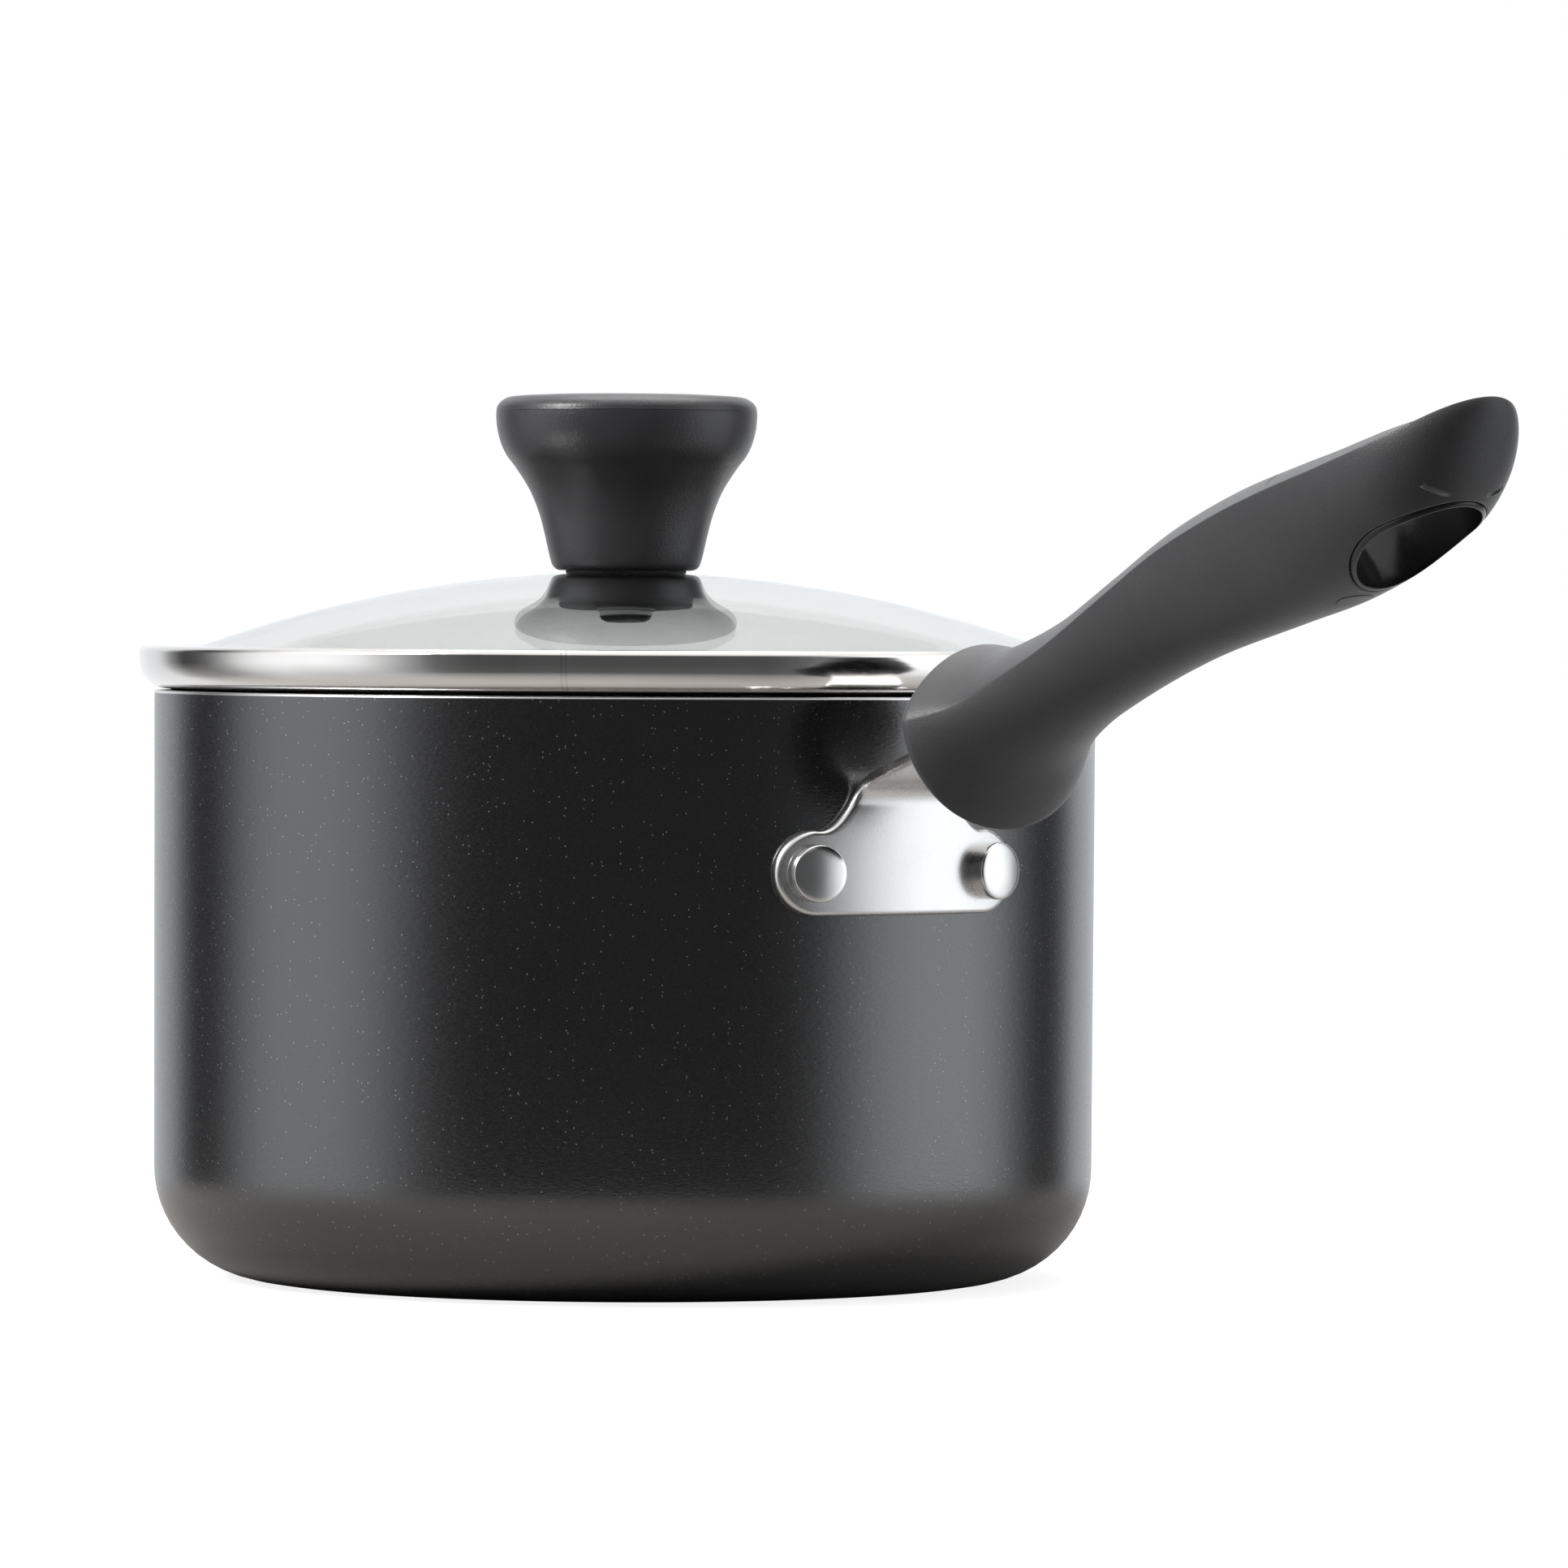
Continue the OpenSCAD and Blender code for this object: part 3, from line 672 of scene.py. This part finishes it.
# Soft grip: hollow mouth, rolled lip, outside skin to the tip, and its inside face on the core
def gripGrids():
    edge, skin, wall = handle["holeEdge"], handle["skin"], handle["mouthWall"]
    lip, back = handle["lip"], handle["lipBack"]
    (outTop, reachTop), (outLow, reachLow) = (
        sideRows(top, handle["skinRows"], edge, 0.0, 0.0, lastStation) for top in (True, False))
    (inTop, inReachTop), (inLow, inReachLow) = (
        sideRows(top, handle["insideRows"], 0.0, skin, handle["coreFrom"], handle["coreTo"])
        for top in (True, False))
    turn = np.radians(np.linspace(0, 90, 8)[:-1])
    hollowU = np.array([handle["coreFrom"], 0.8, 0.5, 0.2, 0.0, 0.0])
    inner = np.radians(np.linspace(180, 90, 5))
    mouthInset = np.concatenate([np.full(6, wall), wall - back + back * -np.cos(inner),
                                 lip * (1 - np.sin(turn))])
    mouthAhead = np.concatenate([np.zeros(5), [-lip + back], -lip + back - back * np.sin(inner),
                                 -lip * np.cos(turn)])
    mouthU = np.concatenate([hollowU, np.zeros(len(inner) + len(turn))])
    up, down = math.pi / 2 + 0 * mouthU, -math.pi / 2 + 0 * mouthU

    def join(inside, mouth, outside):
        return np.concatenate([inside[::-1][:1], inside[::-1], mouth, outside])

    inRows, outRows = len(inTop), len(outTop)
    inset = join(np.full(inRows, skin), mouthInset, np.zeros(outRows))
    ahead = join(np.zeros(inRows), mouthAhead, np.zeros(outRows))
    size = np.ones(len(inset))
    size[0] = 0
    grids = halfGrids(join(inTop, mouthU, outTop), join(inReachTop, up, reachTop),
                      join(inLow, mouthU, outLow), join(inReachLow, down, reachLow), inset, ahead, size)
    walls = []
    for top in (True, False):
        depth = holeAxis * edge * (1 if top else -1)
        corner = holeLine(top)[2]
        walls.append(roundTurn(holeLine(top, edge)[2], corner, corner - depth))
        walls.append(ruled(corner - depth, holeLine(top, 0.0, skin)[2], 2))
    return list(grids) + walls


# Small round plug mark in the belly, just before the hole: a low disc whose height follows the
# skin, with a rounded rim and a foot sunk in the skin
def plugGrid():
    along = -handle["holeHalf"][0] - plug["beforeHole"]
    ring = np.array([0, 0.5, 1, 1, 1, 1.0, 0.5, 0])
    rise = np.array([0.2, 0.5, 1, 1, 0.5, -5, -5, -5]) * plug["rise"]
    draw = np.array([0, 0, 0.3, 0.1, 0, 0, 0, 0])
    phase = np.linspace(0, tau, 48, endpoint=False)
    r = (ring * plug["radius"] - draw)[:, None]
    _, _, p = surfaceAt(False, along + r * np.cos(phase), np.abs(r * np.sin(phase)) + 0 * phase)
    p[..., 1] = p[..., 1] * np.where(np.sin(phase) < 0, -1, 1)
    return toFrame(p - holeAxis * rise[:, None, None])


# Hard core: fills the skin from the mouth's floor to the tip, and lines the hanging hole with
# a sleeve whose ends are flush with the skin
def coreGrids():
    gap, thin, soft = 0.03, handle["liner"], 0.25
    skin = handle["skin"] + gap
    first, last = handle["coreFrom"] + 0.005, handle["coreTo"] - 0.02
    (top, reachTop), (low, reachLow) = (
        sideRows(top, handle["coreRows"], -gap, skin, first, last) for top in (True, False))

    def ends(rows):
        return np.concatenate([rows[:1], rows, rows[-1:]])

    size = np.ones(len(top) + 2)
    size[0] = size[-1] = 0
    grids = list(halfGrids(ends(top), ends(reachTop), ends(low), ends(reachLow), skin, 0.0, size))
    inner = {}
    for up in (True, False):
        depth = holeAxis * (1 if up else -1)
        outer, mouth = holeLine(up, -gap)[2], holeLine(up, -thin)[2]
        flatOut, flatIn = holeLine(up, -gap - soft)[2], holeLine(up, -thin + soft)[2]
        inner[up] = mouth - depth * soft
        grids += [ruled(holeLine(up, -gap, skin)[2], outer - depth * soft),
                  roundTurn(outer - depth * soft, outer, flatOut), ruled(flatOut, flatIn, 1),
                  roundTurn(flatIn, mouth, inner[up])]
    grids.append(ruled(inner[True], inner[False], 14))
    return grids


# Soft-touch rubber: charcoal, dull, with a fine moulded grain and faint handling sheen
def gripFinish():
    finish, tree, shader = newFinish("soft touch charcoal", Roughness=0.45, IOR=1.5)
    shader.inputs["Sheen Weight"].default_value = 0.25
    shader.inputs["Sheen Roughness"].default_value = 0.4
    cloud = clouds(tree, grain(tree, 14 * mm, detail=3))
    tint = mixColour(tree, cloud, (0.030, 0.029, 0.031, 1), (0.038, 0.037, 0.039, 1))
    dots = times(tree, flecks(tree, 0.5 * mm, 0.25, 0.3), 0.25)
    fine = grain(tree, 0.28 * mm, detail=2)
    feed(tree, shader, Base_Color=mixColour(tree, dots, tint, (0.09, 0.09, 0.095, 1)),
         Roughness=clouds(tree, fine, 0.4, 0.52))
    first = addBump(tree, shader, fine, 0.045 * mm)
    addBump(tree, shader, grain(tree, 2.4 * mm), 0.02 * mm, before=first)
    return finish


# Hard moulded plastic: black, glossy to satin, faint flow marks in its roughness
def mouldedFinish(name, tint, roughness, grainSize, depth):
    finish, tree, shader = newFinish(name, Roughness=roughness, IOR=1.5)
    cloud = grain(tree, 6 * mm, (1, 1, 0.5), 3)
    dark = tuple(x * 0.85 for x in tint[:3]) + (1,)
    fine = grain(tree, grainSize, detail=2)
    dull = plus(tree, clouds(tree, cloud, roughness * 0.9, roughness * 1.1), clouds(tree, fine, -0.03, 0.03))
    feed(tree, shader, Base_Color=mixColour(tree, clouds(tree, cloud), dark, tint), Roughness=dull)
    addBump(tree, shader, fine, depth)
    return finish


gloss = mouldedFinish("gloss black core", (0.012, 0.012, 0.013, 1), 0.16, 0.6 * mm, 0.004 * mm)
makePiece("handleGrip", bothHalves(gripGrids()) + [{"grid": plugGrid(), "closeCols": True}],
          [gripFinish()], "pan", ["handle_grip"])
makePiece("handleCore", bothHalves(coreGrids()), [gloss], "pan", ["handle_core"])


lid = {
    "bandT": 0.6 * mm,
    "glassT": 4 * mm,
    "domeR": 215 * mm,
    "domeEdge": 76 * mm,
    "glassEdge": 84 * mm,
    "skirt": 4 * mm,
    # outside of the band from its upright part to its underside, and how upright it is there
    "bandCurve": [(85.2, 6.4), (85.17, 5.4), (85.05, 4.3), (84.75, 3.2), (84.2, 2.1), (83.4, 1.15),
                  (82.4, 0.45), (81.2, 0.05)],
    "bandLean": [1, 1, 0.98, 0.93, 0.8, 0.62, 0.35, 0.05],
    "seamAngle": math.radians(-41.5),
    "seamGap": 0.8 * mm,
    "seamRise": 0.035 * mm,
    "hole": 3.9 * mm,              # radius of the glass's hole
}
bandLow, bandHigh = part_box("lid_band")
lidZ, bandTop = bandLow.z + lid["skirt"], bandHigh.z
bandHeight = bandTop - lidZ
glassTop = bandTop - lid["bandT"]
domeC = glassTop - math.sqrt(lid["domeR"] ** 2 - lid["domeEdge"] ** 2)


# Darker marks beside the weld: two narrow stripes where the angle round the axis is the seam's
def seamMark(tree):
    where = addNode(tree, "SeparateXYZ", {"Vector": placeOn(tree)})
    ahead, off = turned(tree, where.outputs["X"], where.outputs["Y"], lid["seamAngle"])
    fromStripe = compute(tree, "SUBTRACT", compute(tree, "ABSOLUTE", off), lid["seamGap"] / 2)
    stripe = remap(tree, compute(tree, "ABSOLUTE", fromStripe), 0.22 * mm, 0.06 * mm, 0, 1)
    return times(tree, stripe, compute(tree, "GREATER_THAN", ahead, 0.0))


# Height of the dome at radius r: centre + sqrt((R - depth)^2 - r^2), for a depth into the glass
def domeZ(r, depth=0.0):
    return domeC + np.sqrt((lid["domeR"] - depth) ** 2 - np.asarray(r, float) ** 2)


# Closed outline of the glass: dome outside, rounded edge, dome inside, round hole in the middle
def glassProfile():
    hole, thick = lid["hole"], lid["glassT"]
    r = np.linspace(hole + 0.5 * mm, lid["domeEdge"] - 2 * mm, 26)
    r2 = r[::-1] - 0.6 * mm * (r[::-1] > 20 * mm)
    edge, top, low = lid["glassEdge"] - 0.05 * mm, glassTop - 0.03 * mm, glassTop - thick + 0.03 * mm
    outer = softLine([(r[-1], domeZ(r[-1])), (lid["domeEdge"], top), (edge, top), (edge, low),
                      (lid["domeEdge"] - 1 * mm, low), (r2[0], domeZ(r2[0], thick))],
                     [8 * mm, 1 * mm, 1 * mm, 6 * mm], 8)[1:-1]
    bore = softLine([(r2[-1], domeZ(r2[-1], thick)), (hole, domeZ(hole, thick)), (hole, domeZ(hole)),
                     (r[0], domeZ(r[0]))], [0.4 * mm, 0.4 * mm], 4)[1:-1]
    dome, under = np.stack([r, domeZ(r)], 1), np.stack([r2, domeZ(r2, thick)], 1)
    return np.concatenate([dome, outer, under, bore])


# Clear tempered glass with a trace of green and a faint waviness
def glassFinish():
    finish, tree, shader = newFinish("clear lid glass", Roughness=0.0, IOR=1.5, Transmission_Weight=1.0)
    cloud = grain(tree, 30 * mm, detail=1)
    tint = mixColour(tree, cloud, (0.972, 0.980, 0.974, 1), (0.984, 0.990, 0.986, 1))
    feed(tree, shader, Base_Color=tint)
    addBump(tree, shader, grain(tree, 18 * mm, detail=1), 0.01 * mm)
    depth = addNode(tree, "VolumeAbsorption", {"Color": (0.80, 0.85, 0.82, 1), "Density": 60.0}).outputs[0]
    tree.links.new(depth, tree.nodes["Material Output"].inputs["Volume"])
    return finish


# Rolled band: outside drawn as flange, round shoulder, a face that curves in further and further
# until it tucks under, and a skirt inside the pan; the inside line lies one sheet thickness in
def bandProfile():
    t, h = lid["bandT"] / mm, bandHeight / mm
    curve = lid["bandCurve"]
    skirt, ledge = -lid["skirt"] / mm, h - t - lid["glassT"] / mm
    shoulder = softLine([(76.3, h - 0.35), (76.9, h), (85.2, h), curve[0]], [0.3, 1.15], 8)
    foot = softLine([curve[-1], (79.6, 0), (79.6, skirt), (77.9, skirt), (77.9, ledge - 0.7),
                     (76.3, ledge - 0.7)], [0.5, 0.5, 0.5, 0.3], 8)
    outside = np.concatenate([shoulder[:-1], smoothLine(curve, 6)[:-1], foot])
    inner = [(r - t * upright, z + t * (1 - upright) + 0.02)
             for (r, z), upright in zip(curve[::-1], lid["bandLean"][::-1])]
    innerFoot = softLine([(76.3, ledge - 0.1), (78.5, ledge - 0.1), (78.5, skirt + t), (79.0, skirt + t),
                          (79.0, t), (80, t)], [0.2, 0.1, 0.1, 0.1], 6)
    innerTop = softLine([inner[-1], (85.2 - t, h - t), (76.3, h - t)], [0.6], 6)
    line = np.concatenate([outside, innerFoot, smoothLine(inner, 4)[:-1], innerTop])
    return finer(line, 2) * mm + (0, lidZ)


# Band turned on closer angles at the weld, where two low ridges stand up by seamRise*exp(-d^2)
def bandGrid():
    even = np.linspace(-math.pi, math.pi, 256, endpoint=False)
    close = lid["seamAngle"] + np.linspace(-2.4, 2.4, 49) * mm / (85 * mm)
    angles = np.sort(np.concatenate([even[np.abs(even - lid["seamAngle"]) > 0.03], close]))
    grid = spin(bandProfile(), angles=angles)
    off = (angles - lid["seamAngle"]) * 85 * mm
    ridges = [np.exp(-((off - s * lid["seamGap"] / 2) / (0.14 * mm)) ** 2) for s in (-1, 1)]
    rise = sum(ridges) * lid["seamRise"]
    radius = np.hypot(grid[..., 0], grid[..., 1])
    outer = np.clip((radius - 83.5 * mm) / (1 * mm), 0, 1) * (grid[..., 2] > lidZ)
    grid[..., :2] *= (1 + rise[None, :] * outer / radius)[..., None]
    return grid


bandSteel = steelFinish("polished band steel", 0.80, 0.13, (1, 1, 9), 0.035, 1.2 * mm, 0.002 * mm, seam=True)
makePiece("lidGlass", [{"grid": spin(glassProfile(), 256), "closeRows": True, "closeCols": True}],
          [glassFinish()], "lid", ["lid_glass"])
makePiece("lidBand", [{"grid": bandGrid(), "closeRows": True, "closeCols": True}],
          [bandSteel], "lid", ["lid_band"], sharp=70)


knob = {
    "line": [(13.3, 2.0), (13.6, 3.2), (14.3, 6.3), (15.2, 9.7), (16.5, 13.1), (17.8, 15.5), (19.6, 18.2),
             (20.9, 19.9), (21.8, 21.6), (22.4, 23.4), (22.75, 25.1), (22.9, 26.8), (22.9, 27.75)],
    "cap": [(22.9, 27.95), (22.6, 28.9), (21.7, 29.8), (19.9, 30.45), (14, 30.8), (0, 30.9)],
    "groove": 0.07,
    "boreR": 4.1,
    "boreLength": 10.0,
}
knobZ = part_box("lid_knob")[0].z


# Knob turned from its side line, a fine parting groove, the round-edged cap and the bore below
def knobProfile():
    side = smoothLine(knob["line"], 5)
    groove = [(22.9 - knob["groove"], 27.8), (22.9 - knob["groove"], 27.88)]
    cap = np.concatenate([smoothLine(knob["cap"][:5], 6), finer(np.array(knob["cap"][4:]), 2.5)[1:]])
    foot = softLine([(knob["boreR"], 0.3), (knob["boreR"], 0), (12.7, 0), knob["line"][0]], [0.2, 1.7], 8)
    bore = [(0, knob["boreLength"]), (knob["boreR"], knob["boreLength"])]
    return np.concatenate([bore, foot[:-1], side, groove, cap]) * mm + (0, knobZ)


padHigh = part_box("knob_pad_upper")[1]
sealLow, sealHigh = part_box("knob_pad_lower")
washerLow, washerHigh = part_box("knob_washer")
screwR = 2.6 * mm
neckR = 3.8 * mm                   # the seal's neck in the glass's hole


# Thin washer between knob and glass, its underside on the dome, with rounded edges
def padProfile():
    r = padHigh.x
    return softLoop([(screwR, padHigh.z), (screwR, domeZ(screwR) + 0.02 * mm), (r, domeZ(r) + 0.03 * mm),
                     (r, padHigh.z)], [0.05 * mm, 0.05 * mm, 0.25 * mm, 0.2 * mm], 4)


# Rubber washer under the glass with a neck through the hole, rounded at its edges
def sealProfile():
    r, low = sealHigh.x, sealLow.z
    under = domeZ(r, lid["glassT"]) - 0.05 * mm
    shoulder = domeZ(lid["hole"], lid["glassT"]) - 0.05 * mm
    return softLoop([(screwR, low), (r, low), (r, under), (neckR, shoulder), (neckR, sealHigh.z),
                     (screwR, sealHigh.z)],
                    [0.05 * mm, 0.6 * mm, 0.25 * mm, 0.05 * mm, 0.2 * mm, 0.05 * mm], 5)


# Flat steel washer: a rectangle with rounded outer corners
def washerProfile():
    return softLoop([(screwR, washerLow.z), (washerHigh.x, washerLow.z), (washerHigh.x, washerHigh.z),
                     (screwR, washerHigh.z)], [0.05 * mm, 0.2 * mm, 0.2 * mm, 0.05 * mm], 4)


# Dark rubber: dull, with dusty clouds and a fine grain
def rubberFinish():
    finish, tree, shader = newFinish("dark seal rubber", Roughness=0.6)
    cloud = grain(tree, 3 * mm, detail=4)
    tint = mixColour(tree, cloud, (0.02, 0.02, 0.02, 1), (0.05, 0.05, 0.048, 1))
    feed(tree, shader, Base_Color=tint, Roughness=clouds(tree, cloud, 0.52, 0.7))
    addBump(tree, shader, grain(tree, 0.3 * mm), 0.02 * mm)
    return finish


rubber = rubberFinish()
washerSteel = steelFinish("plain washer steel", 0.7, 0.3, (1, 1, 1), 0.01, 0.3 * mm)
knobBlack = mouldedFinish("satin black knob", (0.036, 0.034, 0.037, 1), 0.36, 0.42 * mm, 0.05 * mm)
makePiece("lidKnob", [{"grid": spin(knobProfile(), 160), "closeCols": True}], [knobBlack],
          "lid", ["lid_knob"], sharp=50)
for name, profile, finish, slotName, node in (
        ("knobPadUpper", padProfile(), rubber, "pad_rubber", "knob_pad_upper"),
        ("knobPadLower", sealProfile(), rubber, "pad_rubber", "knob_pad_lower"),
        ("knobWasher", washerProfile(), washerSteel, "screw_steel", "knob_washer")):
    makePiece(name, [{"grid": spin(profile, 96), "closeCols": True, "closeRows": True}], [finish],
              "lid", [node])

# The screw and the moulded-in sleeve keep their own shape
for name, finish in (("knob_screw", steelFinish("screw steel", 0.62, 0.28, (1, 1, 6), 0.01, 0.4 * mm)),
                     ("knob_insert", steelFinish("turned brass", 0.6, 0.3, (1, 1, 6), 0.3, 0.3 * mm))):
    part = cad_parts[name]
    part.data.materials.clear()
    part.data.materials.append(finish)
print("pieces done")


studio = {
    "towardsCamera": math.radians(-34.5),
    "distance": 1.693,
    "eye": 0.1193,
    "turnRight": math.radians(0.945),
    "pitchDown": math.radians(1.105),
    "roll": math.radians(0.3),
    "lens": 221.4,
    "floorR": 6.0,
    "floorGlow": 0.86,
    "tableR": 0.26,
    "tableTint": (0.36, 0.345, 0.33, 1),
    # light all round: turn away from the camera's side as a share of half a turn, and its level
    "around": [(0, 0.08), (0.2, 0.08), (0.26, 0.16), (0.31, 0.62), (0.36, 1.15), (0.42, 1.4),
               (0.52, 1.35), (0.57, 1.0), (0.62, 0.38), (0.66, 0.1), (0.72, 0.06), (0.76, 0.35),
               (0.8, 0.9), (1, 1.05)],
    "lopsided": 0.12,              # the right side is brighter by this share, the left one darker
    "sky": 1.1,
    "floorFront": 0.14,
    "floorBack": 1.0,
}


# Two pale floors in one place: the one that is seen, nearly white, and the one that light and
# reflections meet, a table top that fades out towards its edge
def floorDisc(name, radius, low):
    r = np.array([0, 0.05, 0.12, 0.25, 0.5, 1]) * radius
    grid = spin(np.stack([r, 0 * r + low], 1), 96)
    mesh = bpy.data.meshes.new(name)
    mesh.from_pydata(grid.reshape(-1, 3), [], gridQuads(len(r), 96, False, True)[:, ::-1])
    floor = placeObject(name, mesh)
    return floor


def seenFloor():
    floor = floorDisc("floor", studio["floorR"], -0.1 * mm)
    finish, tree, shader = newFinish("pale floor", Roughness=0.8)
    feed(tree, shader, Base_Color=mixColour(tree, grain(tree, 0.4, detail=2), grey(0.30), grey(0.32)))
    shader.inputs["Specular IOR Level"].default_value = 0
    shader.inputs["Emission Color"].default_value = (1, 1, 1, 1)
    shader.inputs["Emission Strength"].default_value = studio["floorGlow"]
    floor.data.materials.append(finish)
    floor.visible_diffuse = floor.visible_glossy = floor.visible_shadow = False


def tableTop():
    floor = floorDisc("tableTop", studio["tableR"], -0.3 * mm)
    finish, tree, shader = newFinish("table top", Roughness=0.9)
    away = addNode(tree, "VectorMath", {0: placeOn(tree)}, operation="LENGTH").outputs["Value"]
    feed(tree, shader, Alpha=remap(tree, away, studio["tableR"] * 0.45, studio["tableR"] * 0.98, 1, 0))
    shader.inputs["Base Color"].default_value = studio["tableTint"]
    shader.inputs["Specular IOR Level"].default_value = 0
    floor.data.materials.append(finish)
    floor.visible_camera = floor.visible_transmission = False


# White all round behind everything, seen directly or through the glass
def backdrop():
    turn = np.linspace(0, math.pi, 33)
    grid = spin(np.stack([np.sin(turn), -np.cos(turn)], 1) * studio["floorR"] * 1.3, 64)
    mesh = bpy.data.meshes.new("backdrop")
    mesh.from_pydata(grid.reshape(-1, 3), [], gridQuads(33, 64, False, True))
    finish = bpy.data.materials.new("white backdrop")
    finish.use_nodes = True
    tree = finish.node_tree
    tree.nodes.clear()
    glow = addNode(tree, "Emission", {"Color": grey(1.0), "Strength": 1.0})
    out = tree.nodes.new("ShaderNodeOutputMaterial")
    tree.links.new(glow.outputs[0], out.inputs["Surface"])
    mesh.materials.append(finish)
    made = placeObject("backdrop", mesh)
    made.visible_diffuse = made.visible_glossy = made.visible_shadow = False


# Studio all round, by direction (x, y, z): rel = angle from the camera's side, seen from above, as
# a share of half a turn. Level = list by rel, times 1 + lopsided*across; it goes over to the sky
# above and to a floor below, which is dim in front and white behind
def studioWorld():
    world = bpy.data.worlds.new("studio")
    bpy.context.scene.world = world
    world.use_nodes = True
    tree = world.node_tree
    tree.nodes.clear()
    where = addNode(tree, "TexCoord", {}).outputs["Generated"]
    part = addNode(tree, "SeparateXYZ", {"Vector": where})
    z = part.outputs["Z"]
    ahead, across = turned(tree, part.outputs["X"], part.outputs["Y"], studio["towardsCamera"])
    rel = compute(tree, "DIVIDE", compute(tree, "ABSOLUTE", compute(tree, "ARCTAN2", across, ahead)), math.pi)
    ramp = addNode(tree, "ValToRGB", {"Fac": rel})
    while len(ramp.color_ramp.elements) < len(studio["around"]):
        ramp.color_ramp.elements.new(0.5)
    for element, (place, level) in zip(ramp.color_ramp.elements, studio["around"]):
        element.position = place
        element.color = grey(level, -0.03)
    tilt = compute(tree, "MULTIPLY_ADD", across, studio["lopsided"], 1.0)
    inputs = {0: ramp.outputs["Color"], "Scale": tilt}
    low = addNode(tree, "VectorMath", inputs, operation="SCALE").outputs["Vector"]
    around = mixColour(tree, remap(tree, z, 0.42, 0.75, 0, 1), low, grey(studio["sky"]))
    floor = remap(tree, rel, 0.45, 0.8, studio["floorFront"], studio["floorBack"])
    around = mixColour(tree, remap(tree, z, -0.12, -0.95, 0, 1), around, floor)
    light = addNode(tree, "Background", {"Color": around, "Strength": 1.0})
    out = tree.nodes.new("ShaderNodeOutputWorld")
    tree.links.new(light.outputs[0], out.inputs["Surface"])


def softLamp(name, place, aim, size, power):
    lamp = bpy.data.lights.new(name, "AREA")
    lamp.shape = "DISK"
    lamp.size, lamp.energy = size, power
    made = placeObject(name, lamp)
    made.location = place
    made.rotation_euler = (Vector(aim) - Vector(place)).to_track_quat("-Z", "Y").to_euler()
    made.visible_camera = made.visible_transmission = False


# Camera turned a little right of the pan's axis, down and rolled, so that all of it is in view
def placeCamera():
    a = studio["towardsCamera"]
    ahead = -np.array([math.cos(a), math.sin(a), 0])
    place = studio["eye"] * np.array([0, 0, 1.0]) - studio["distance"] * ahead
    right = np.array([ahead[1], -ahead[0], 0])
    yaw, pitch, roll = studio["turnRight"], studio["pitchDown"], studio["roll"]
    ahead = ahead * math.cos(yaw) + right * math.sin(yaw)
    right = np.array([ahead[1], -ahead[0], 0])
    up = np.array([0, 0, 1.0])
    forward = ahead * math.cos(pitch) - up * math.sin(pitch)
    above = up * math.cos(pitch) + ahead * math.sin(pitch)
    side = right * math.cos(roll) + above * math.sin(roll)
    above = above * math.cos(roll) - right * math.sin(roll)
    data = bpy.data.cameras.new("camera")
    data.sensor_width, data.lens = 36, studio["lens"]
    data.clip_start, data.clip_end = 0.05, 50
    camera = placeObject("camera", data)
    turn = Matrix((side, above, -forward)).transposed().to_4x4()
    turn.translation = place
    camera.matrix_world = turn
    bpy.context.scene.camera = camera


seenFloor()
tableTop()
backdrop()
studioWorld()
softLamp("overhead", (-0.2, 0.25, 1.3), (0.05, 0, 0.1), 1.2, 10)
softLamp("key", (-0.17, -1.0, 0.8), (0.05, 0, 0.12), 0.5, 15)
placeCamera()
bpy.context.scene.view_settings.view_transform = "Standard"
print("studio done")
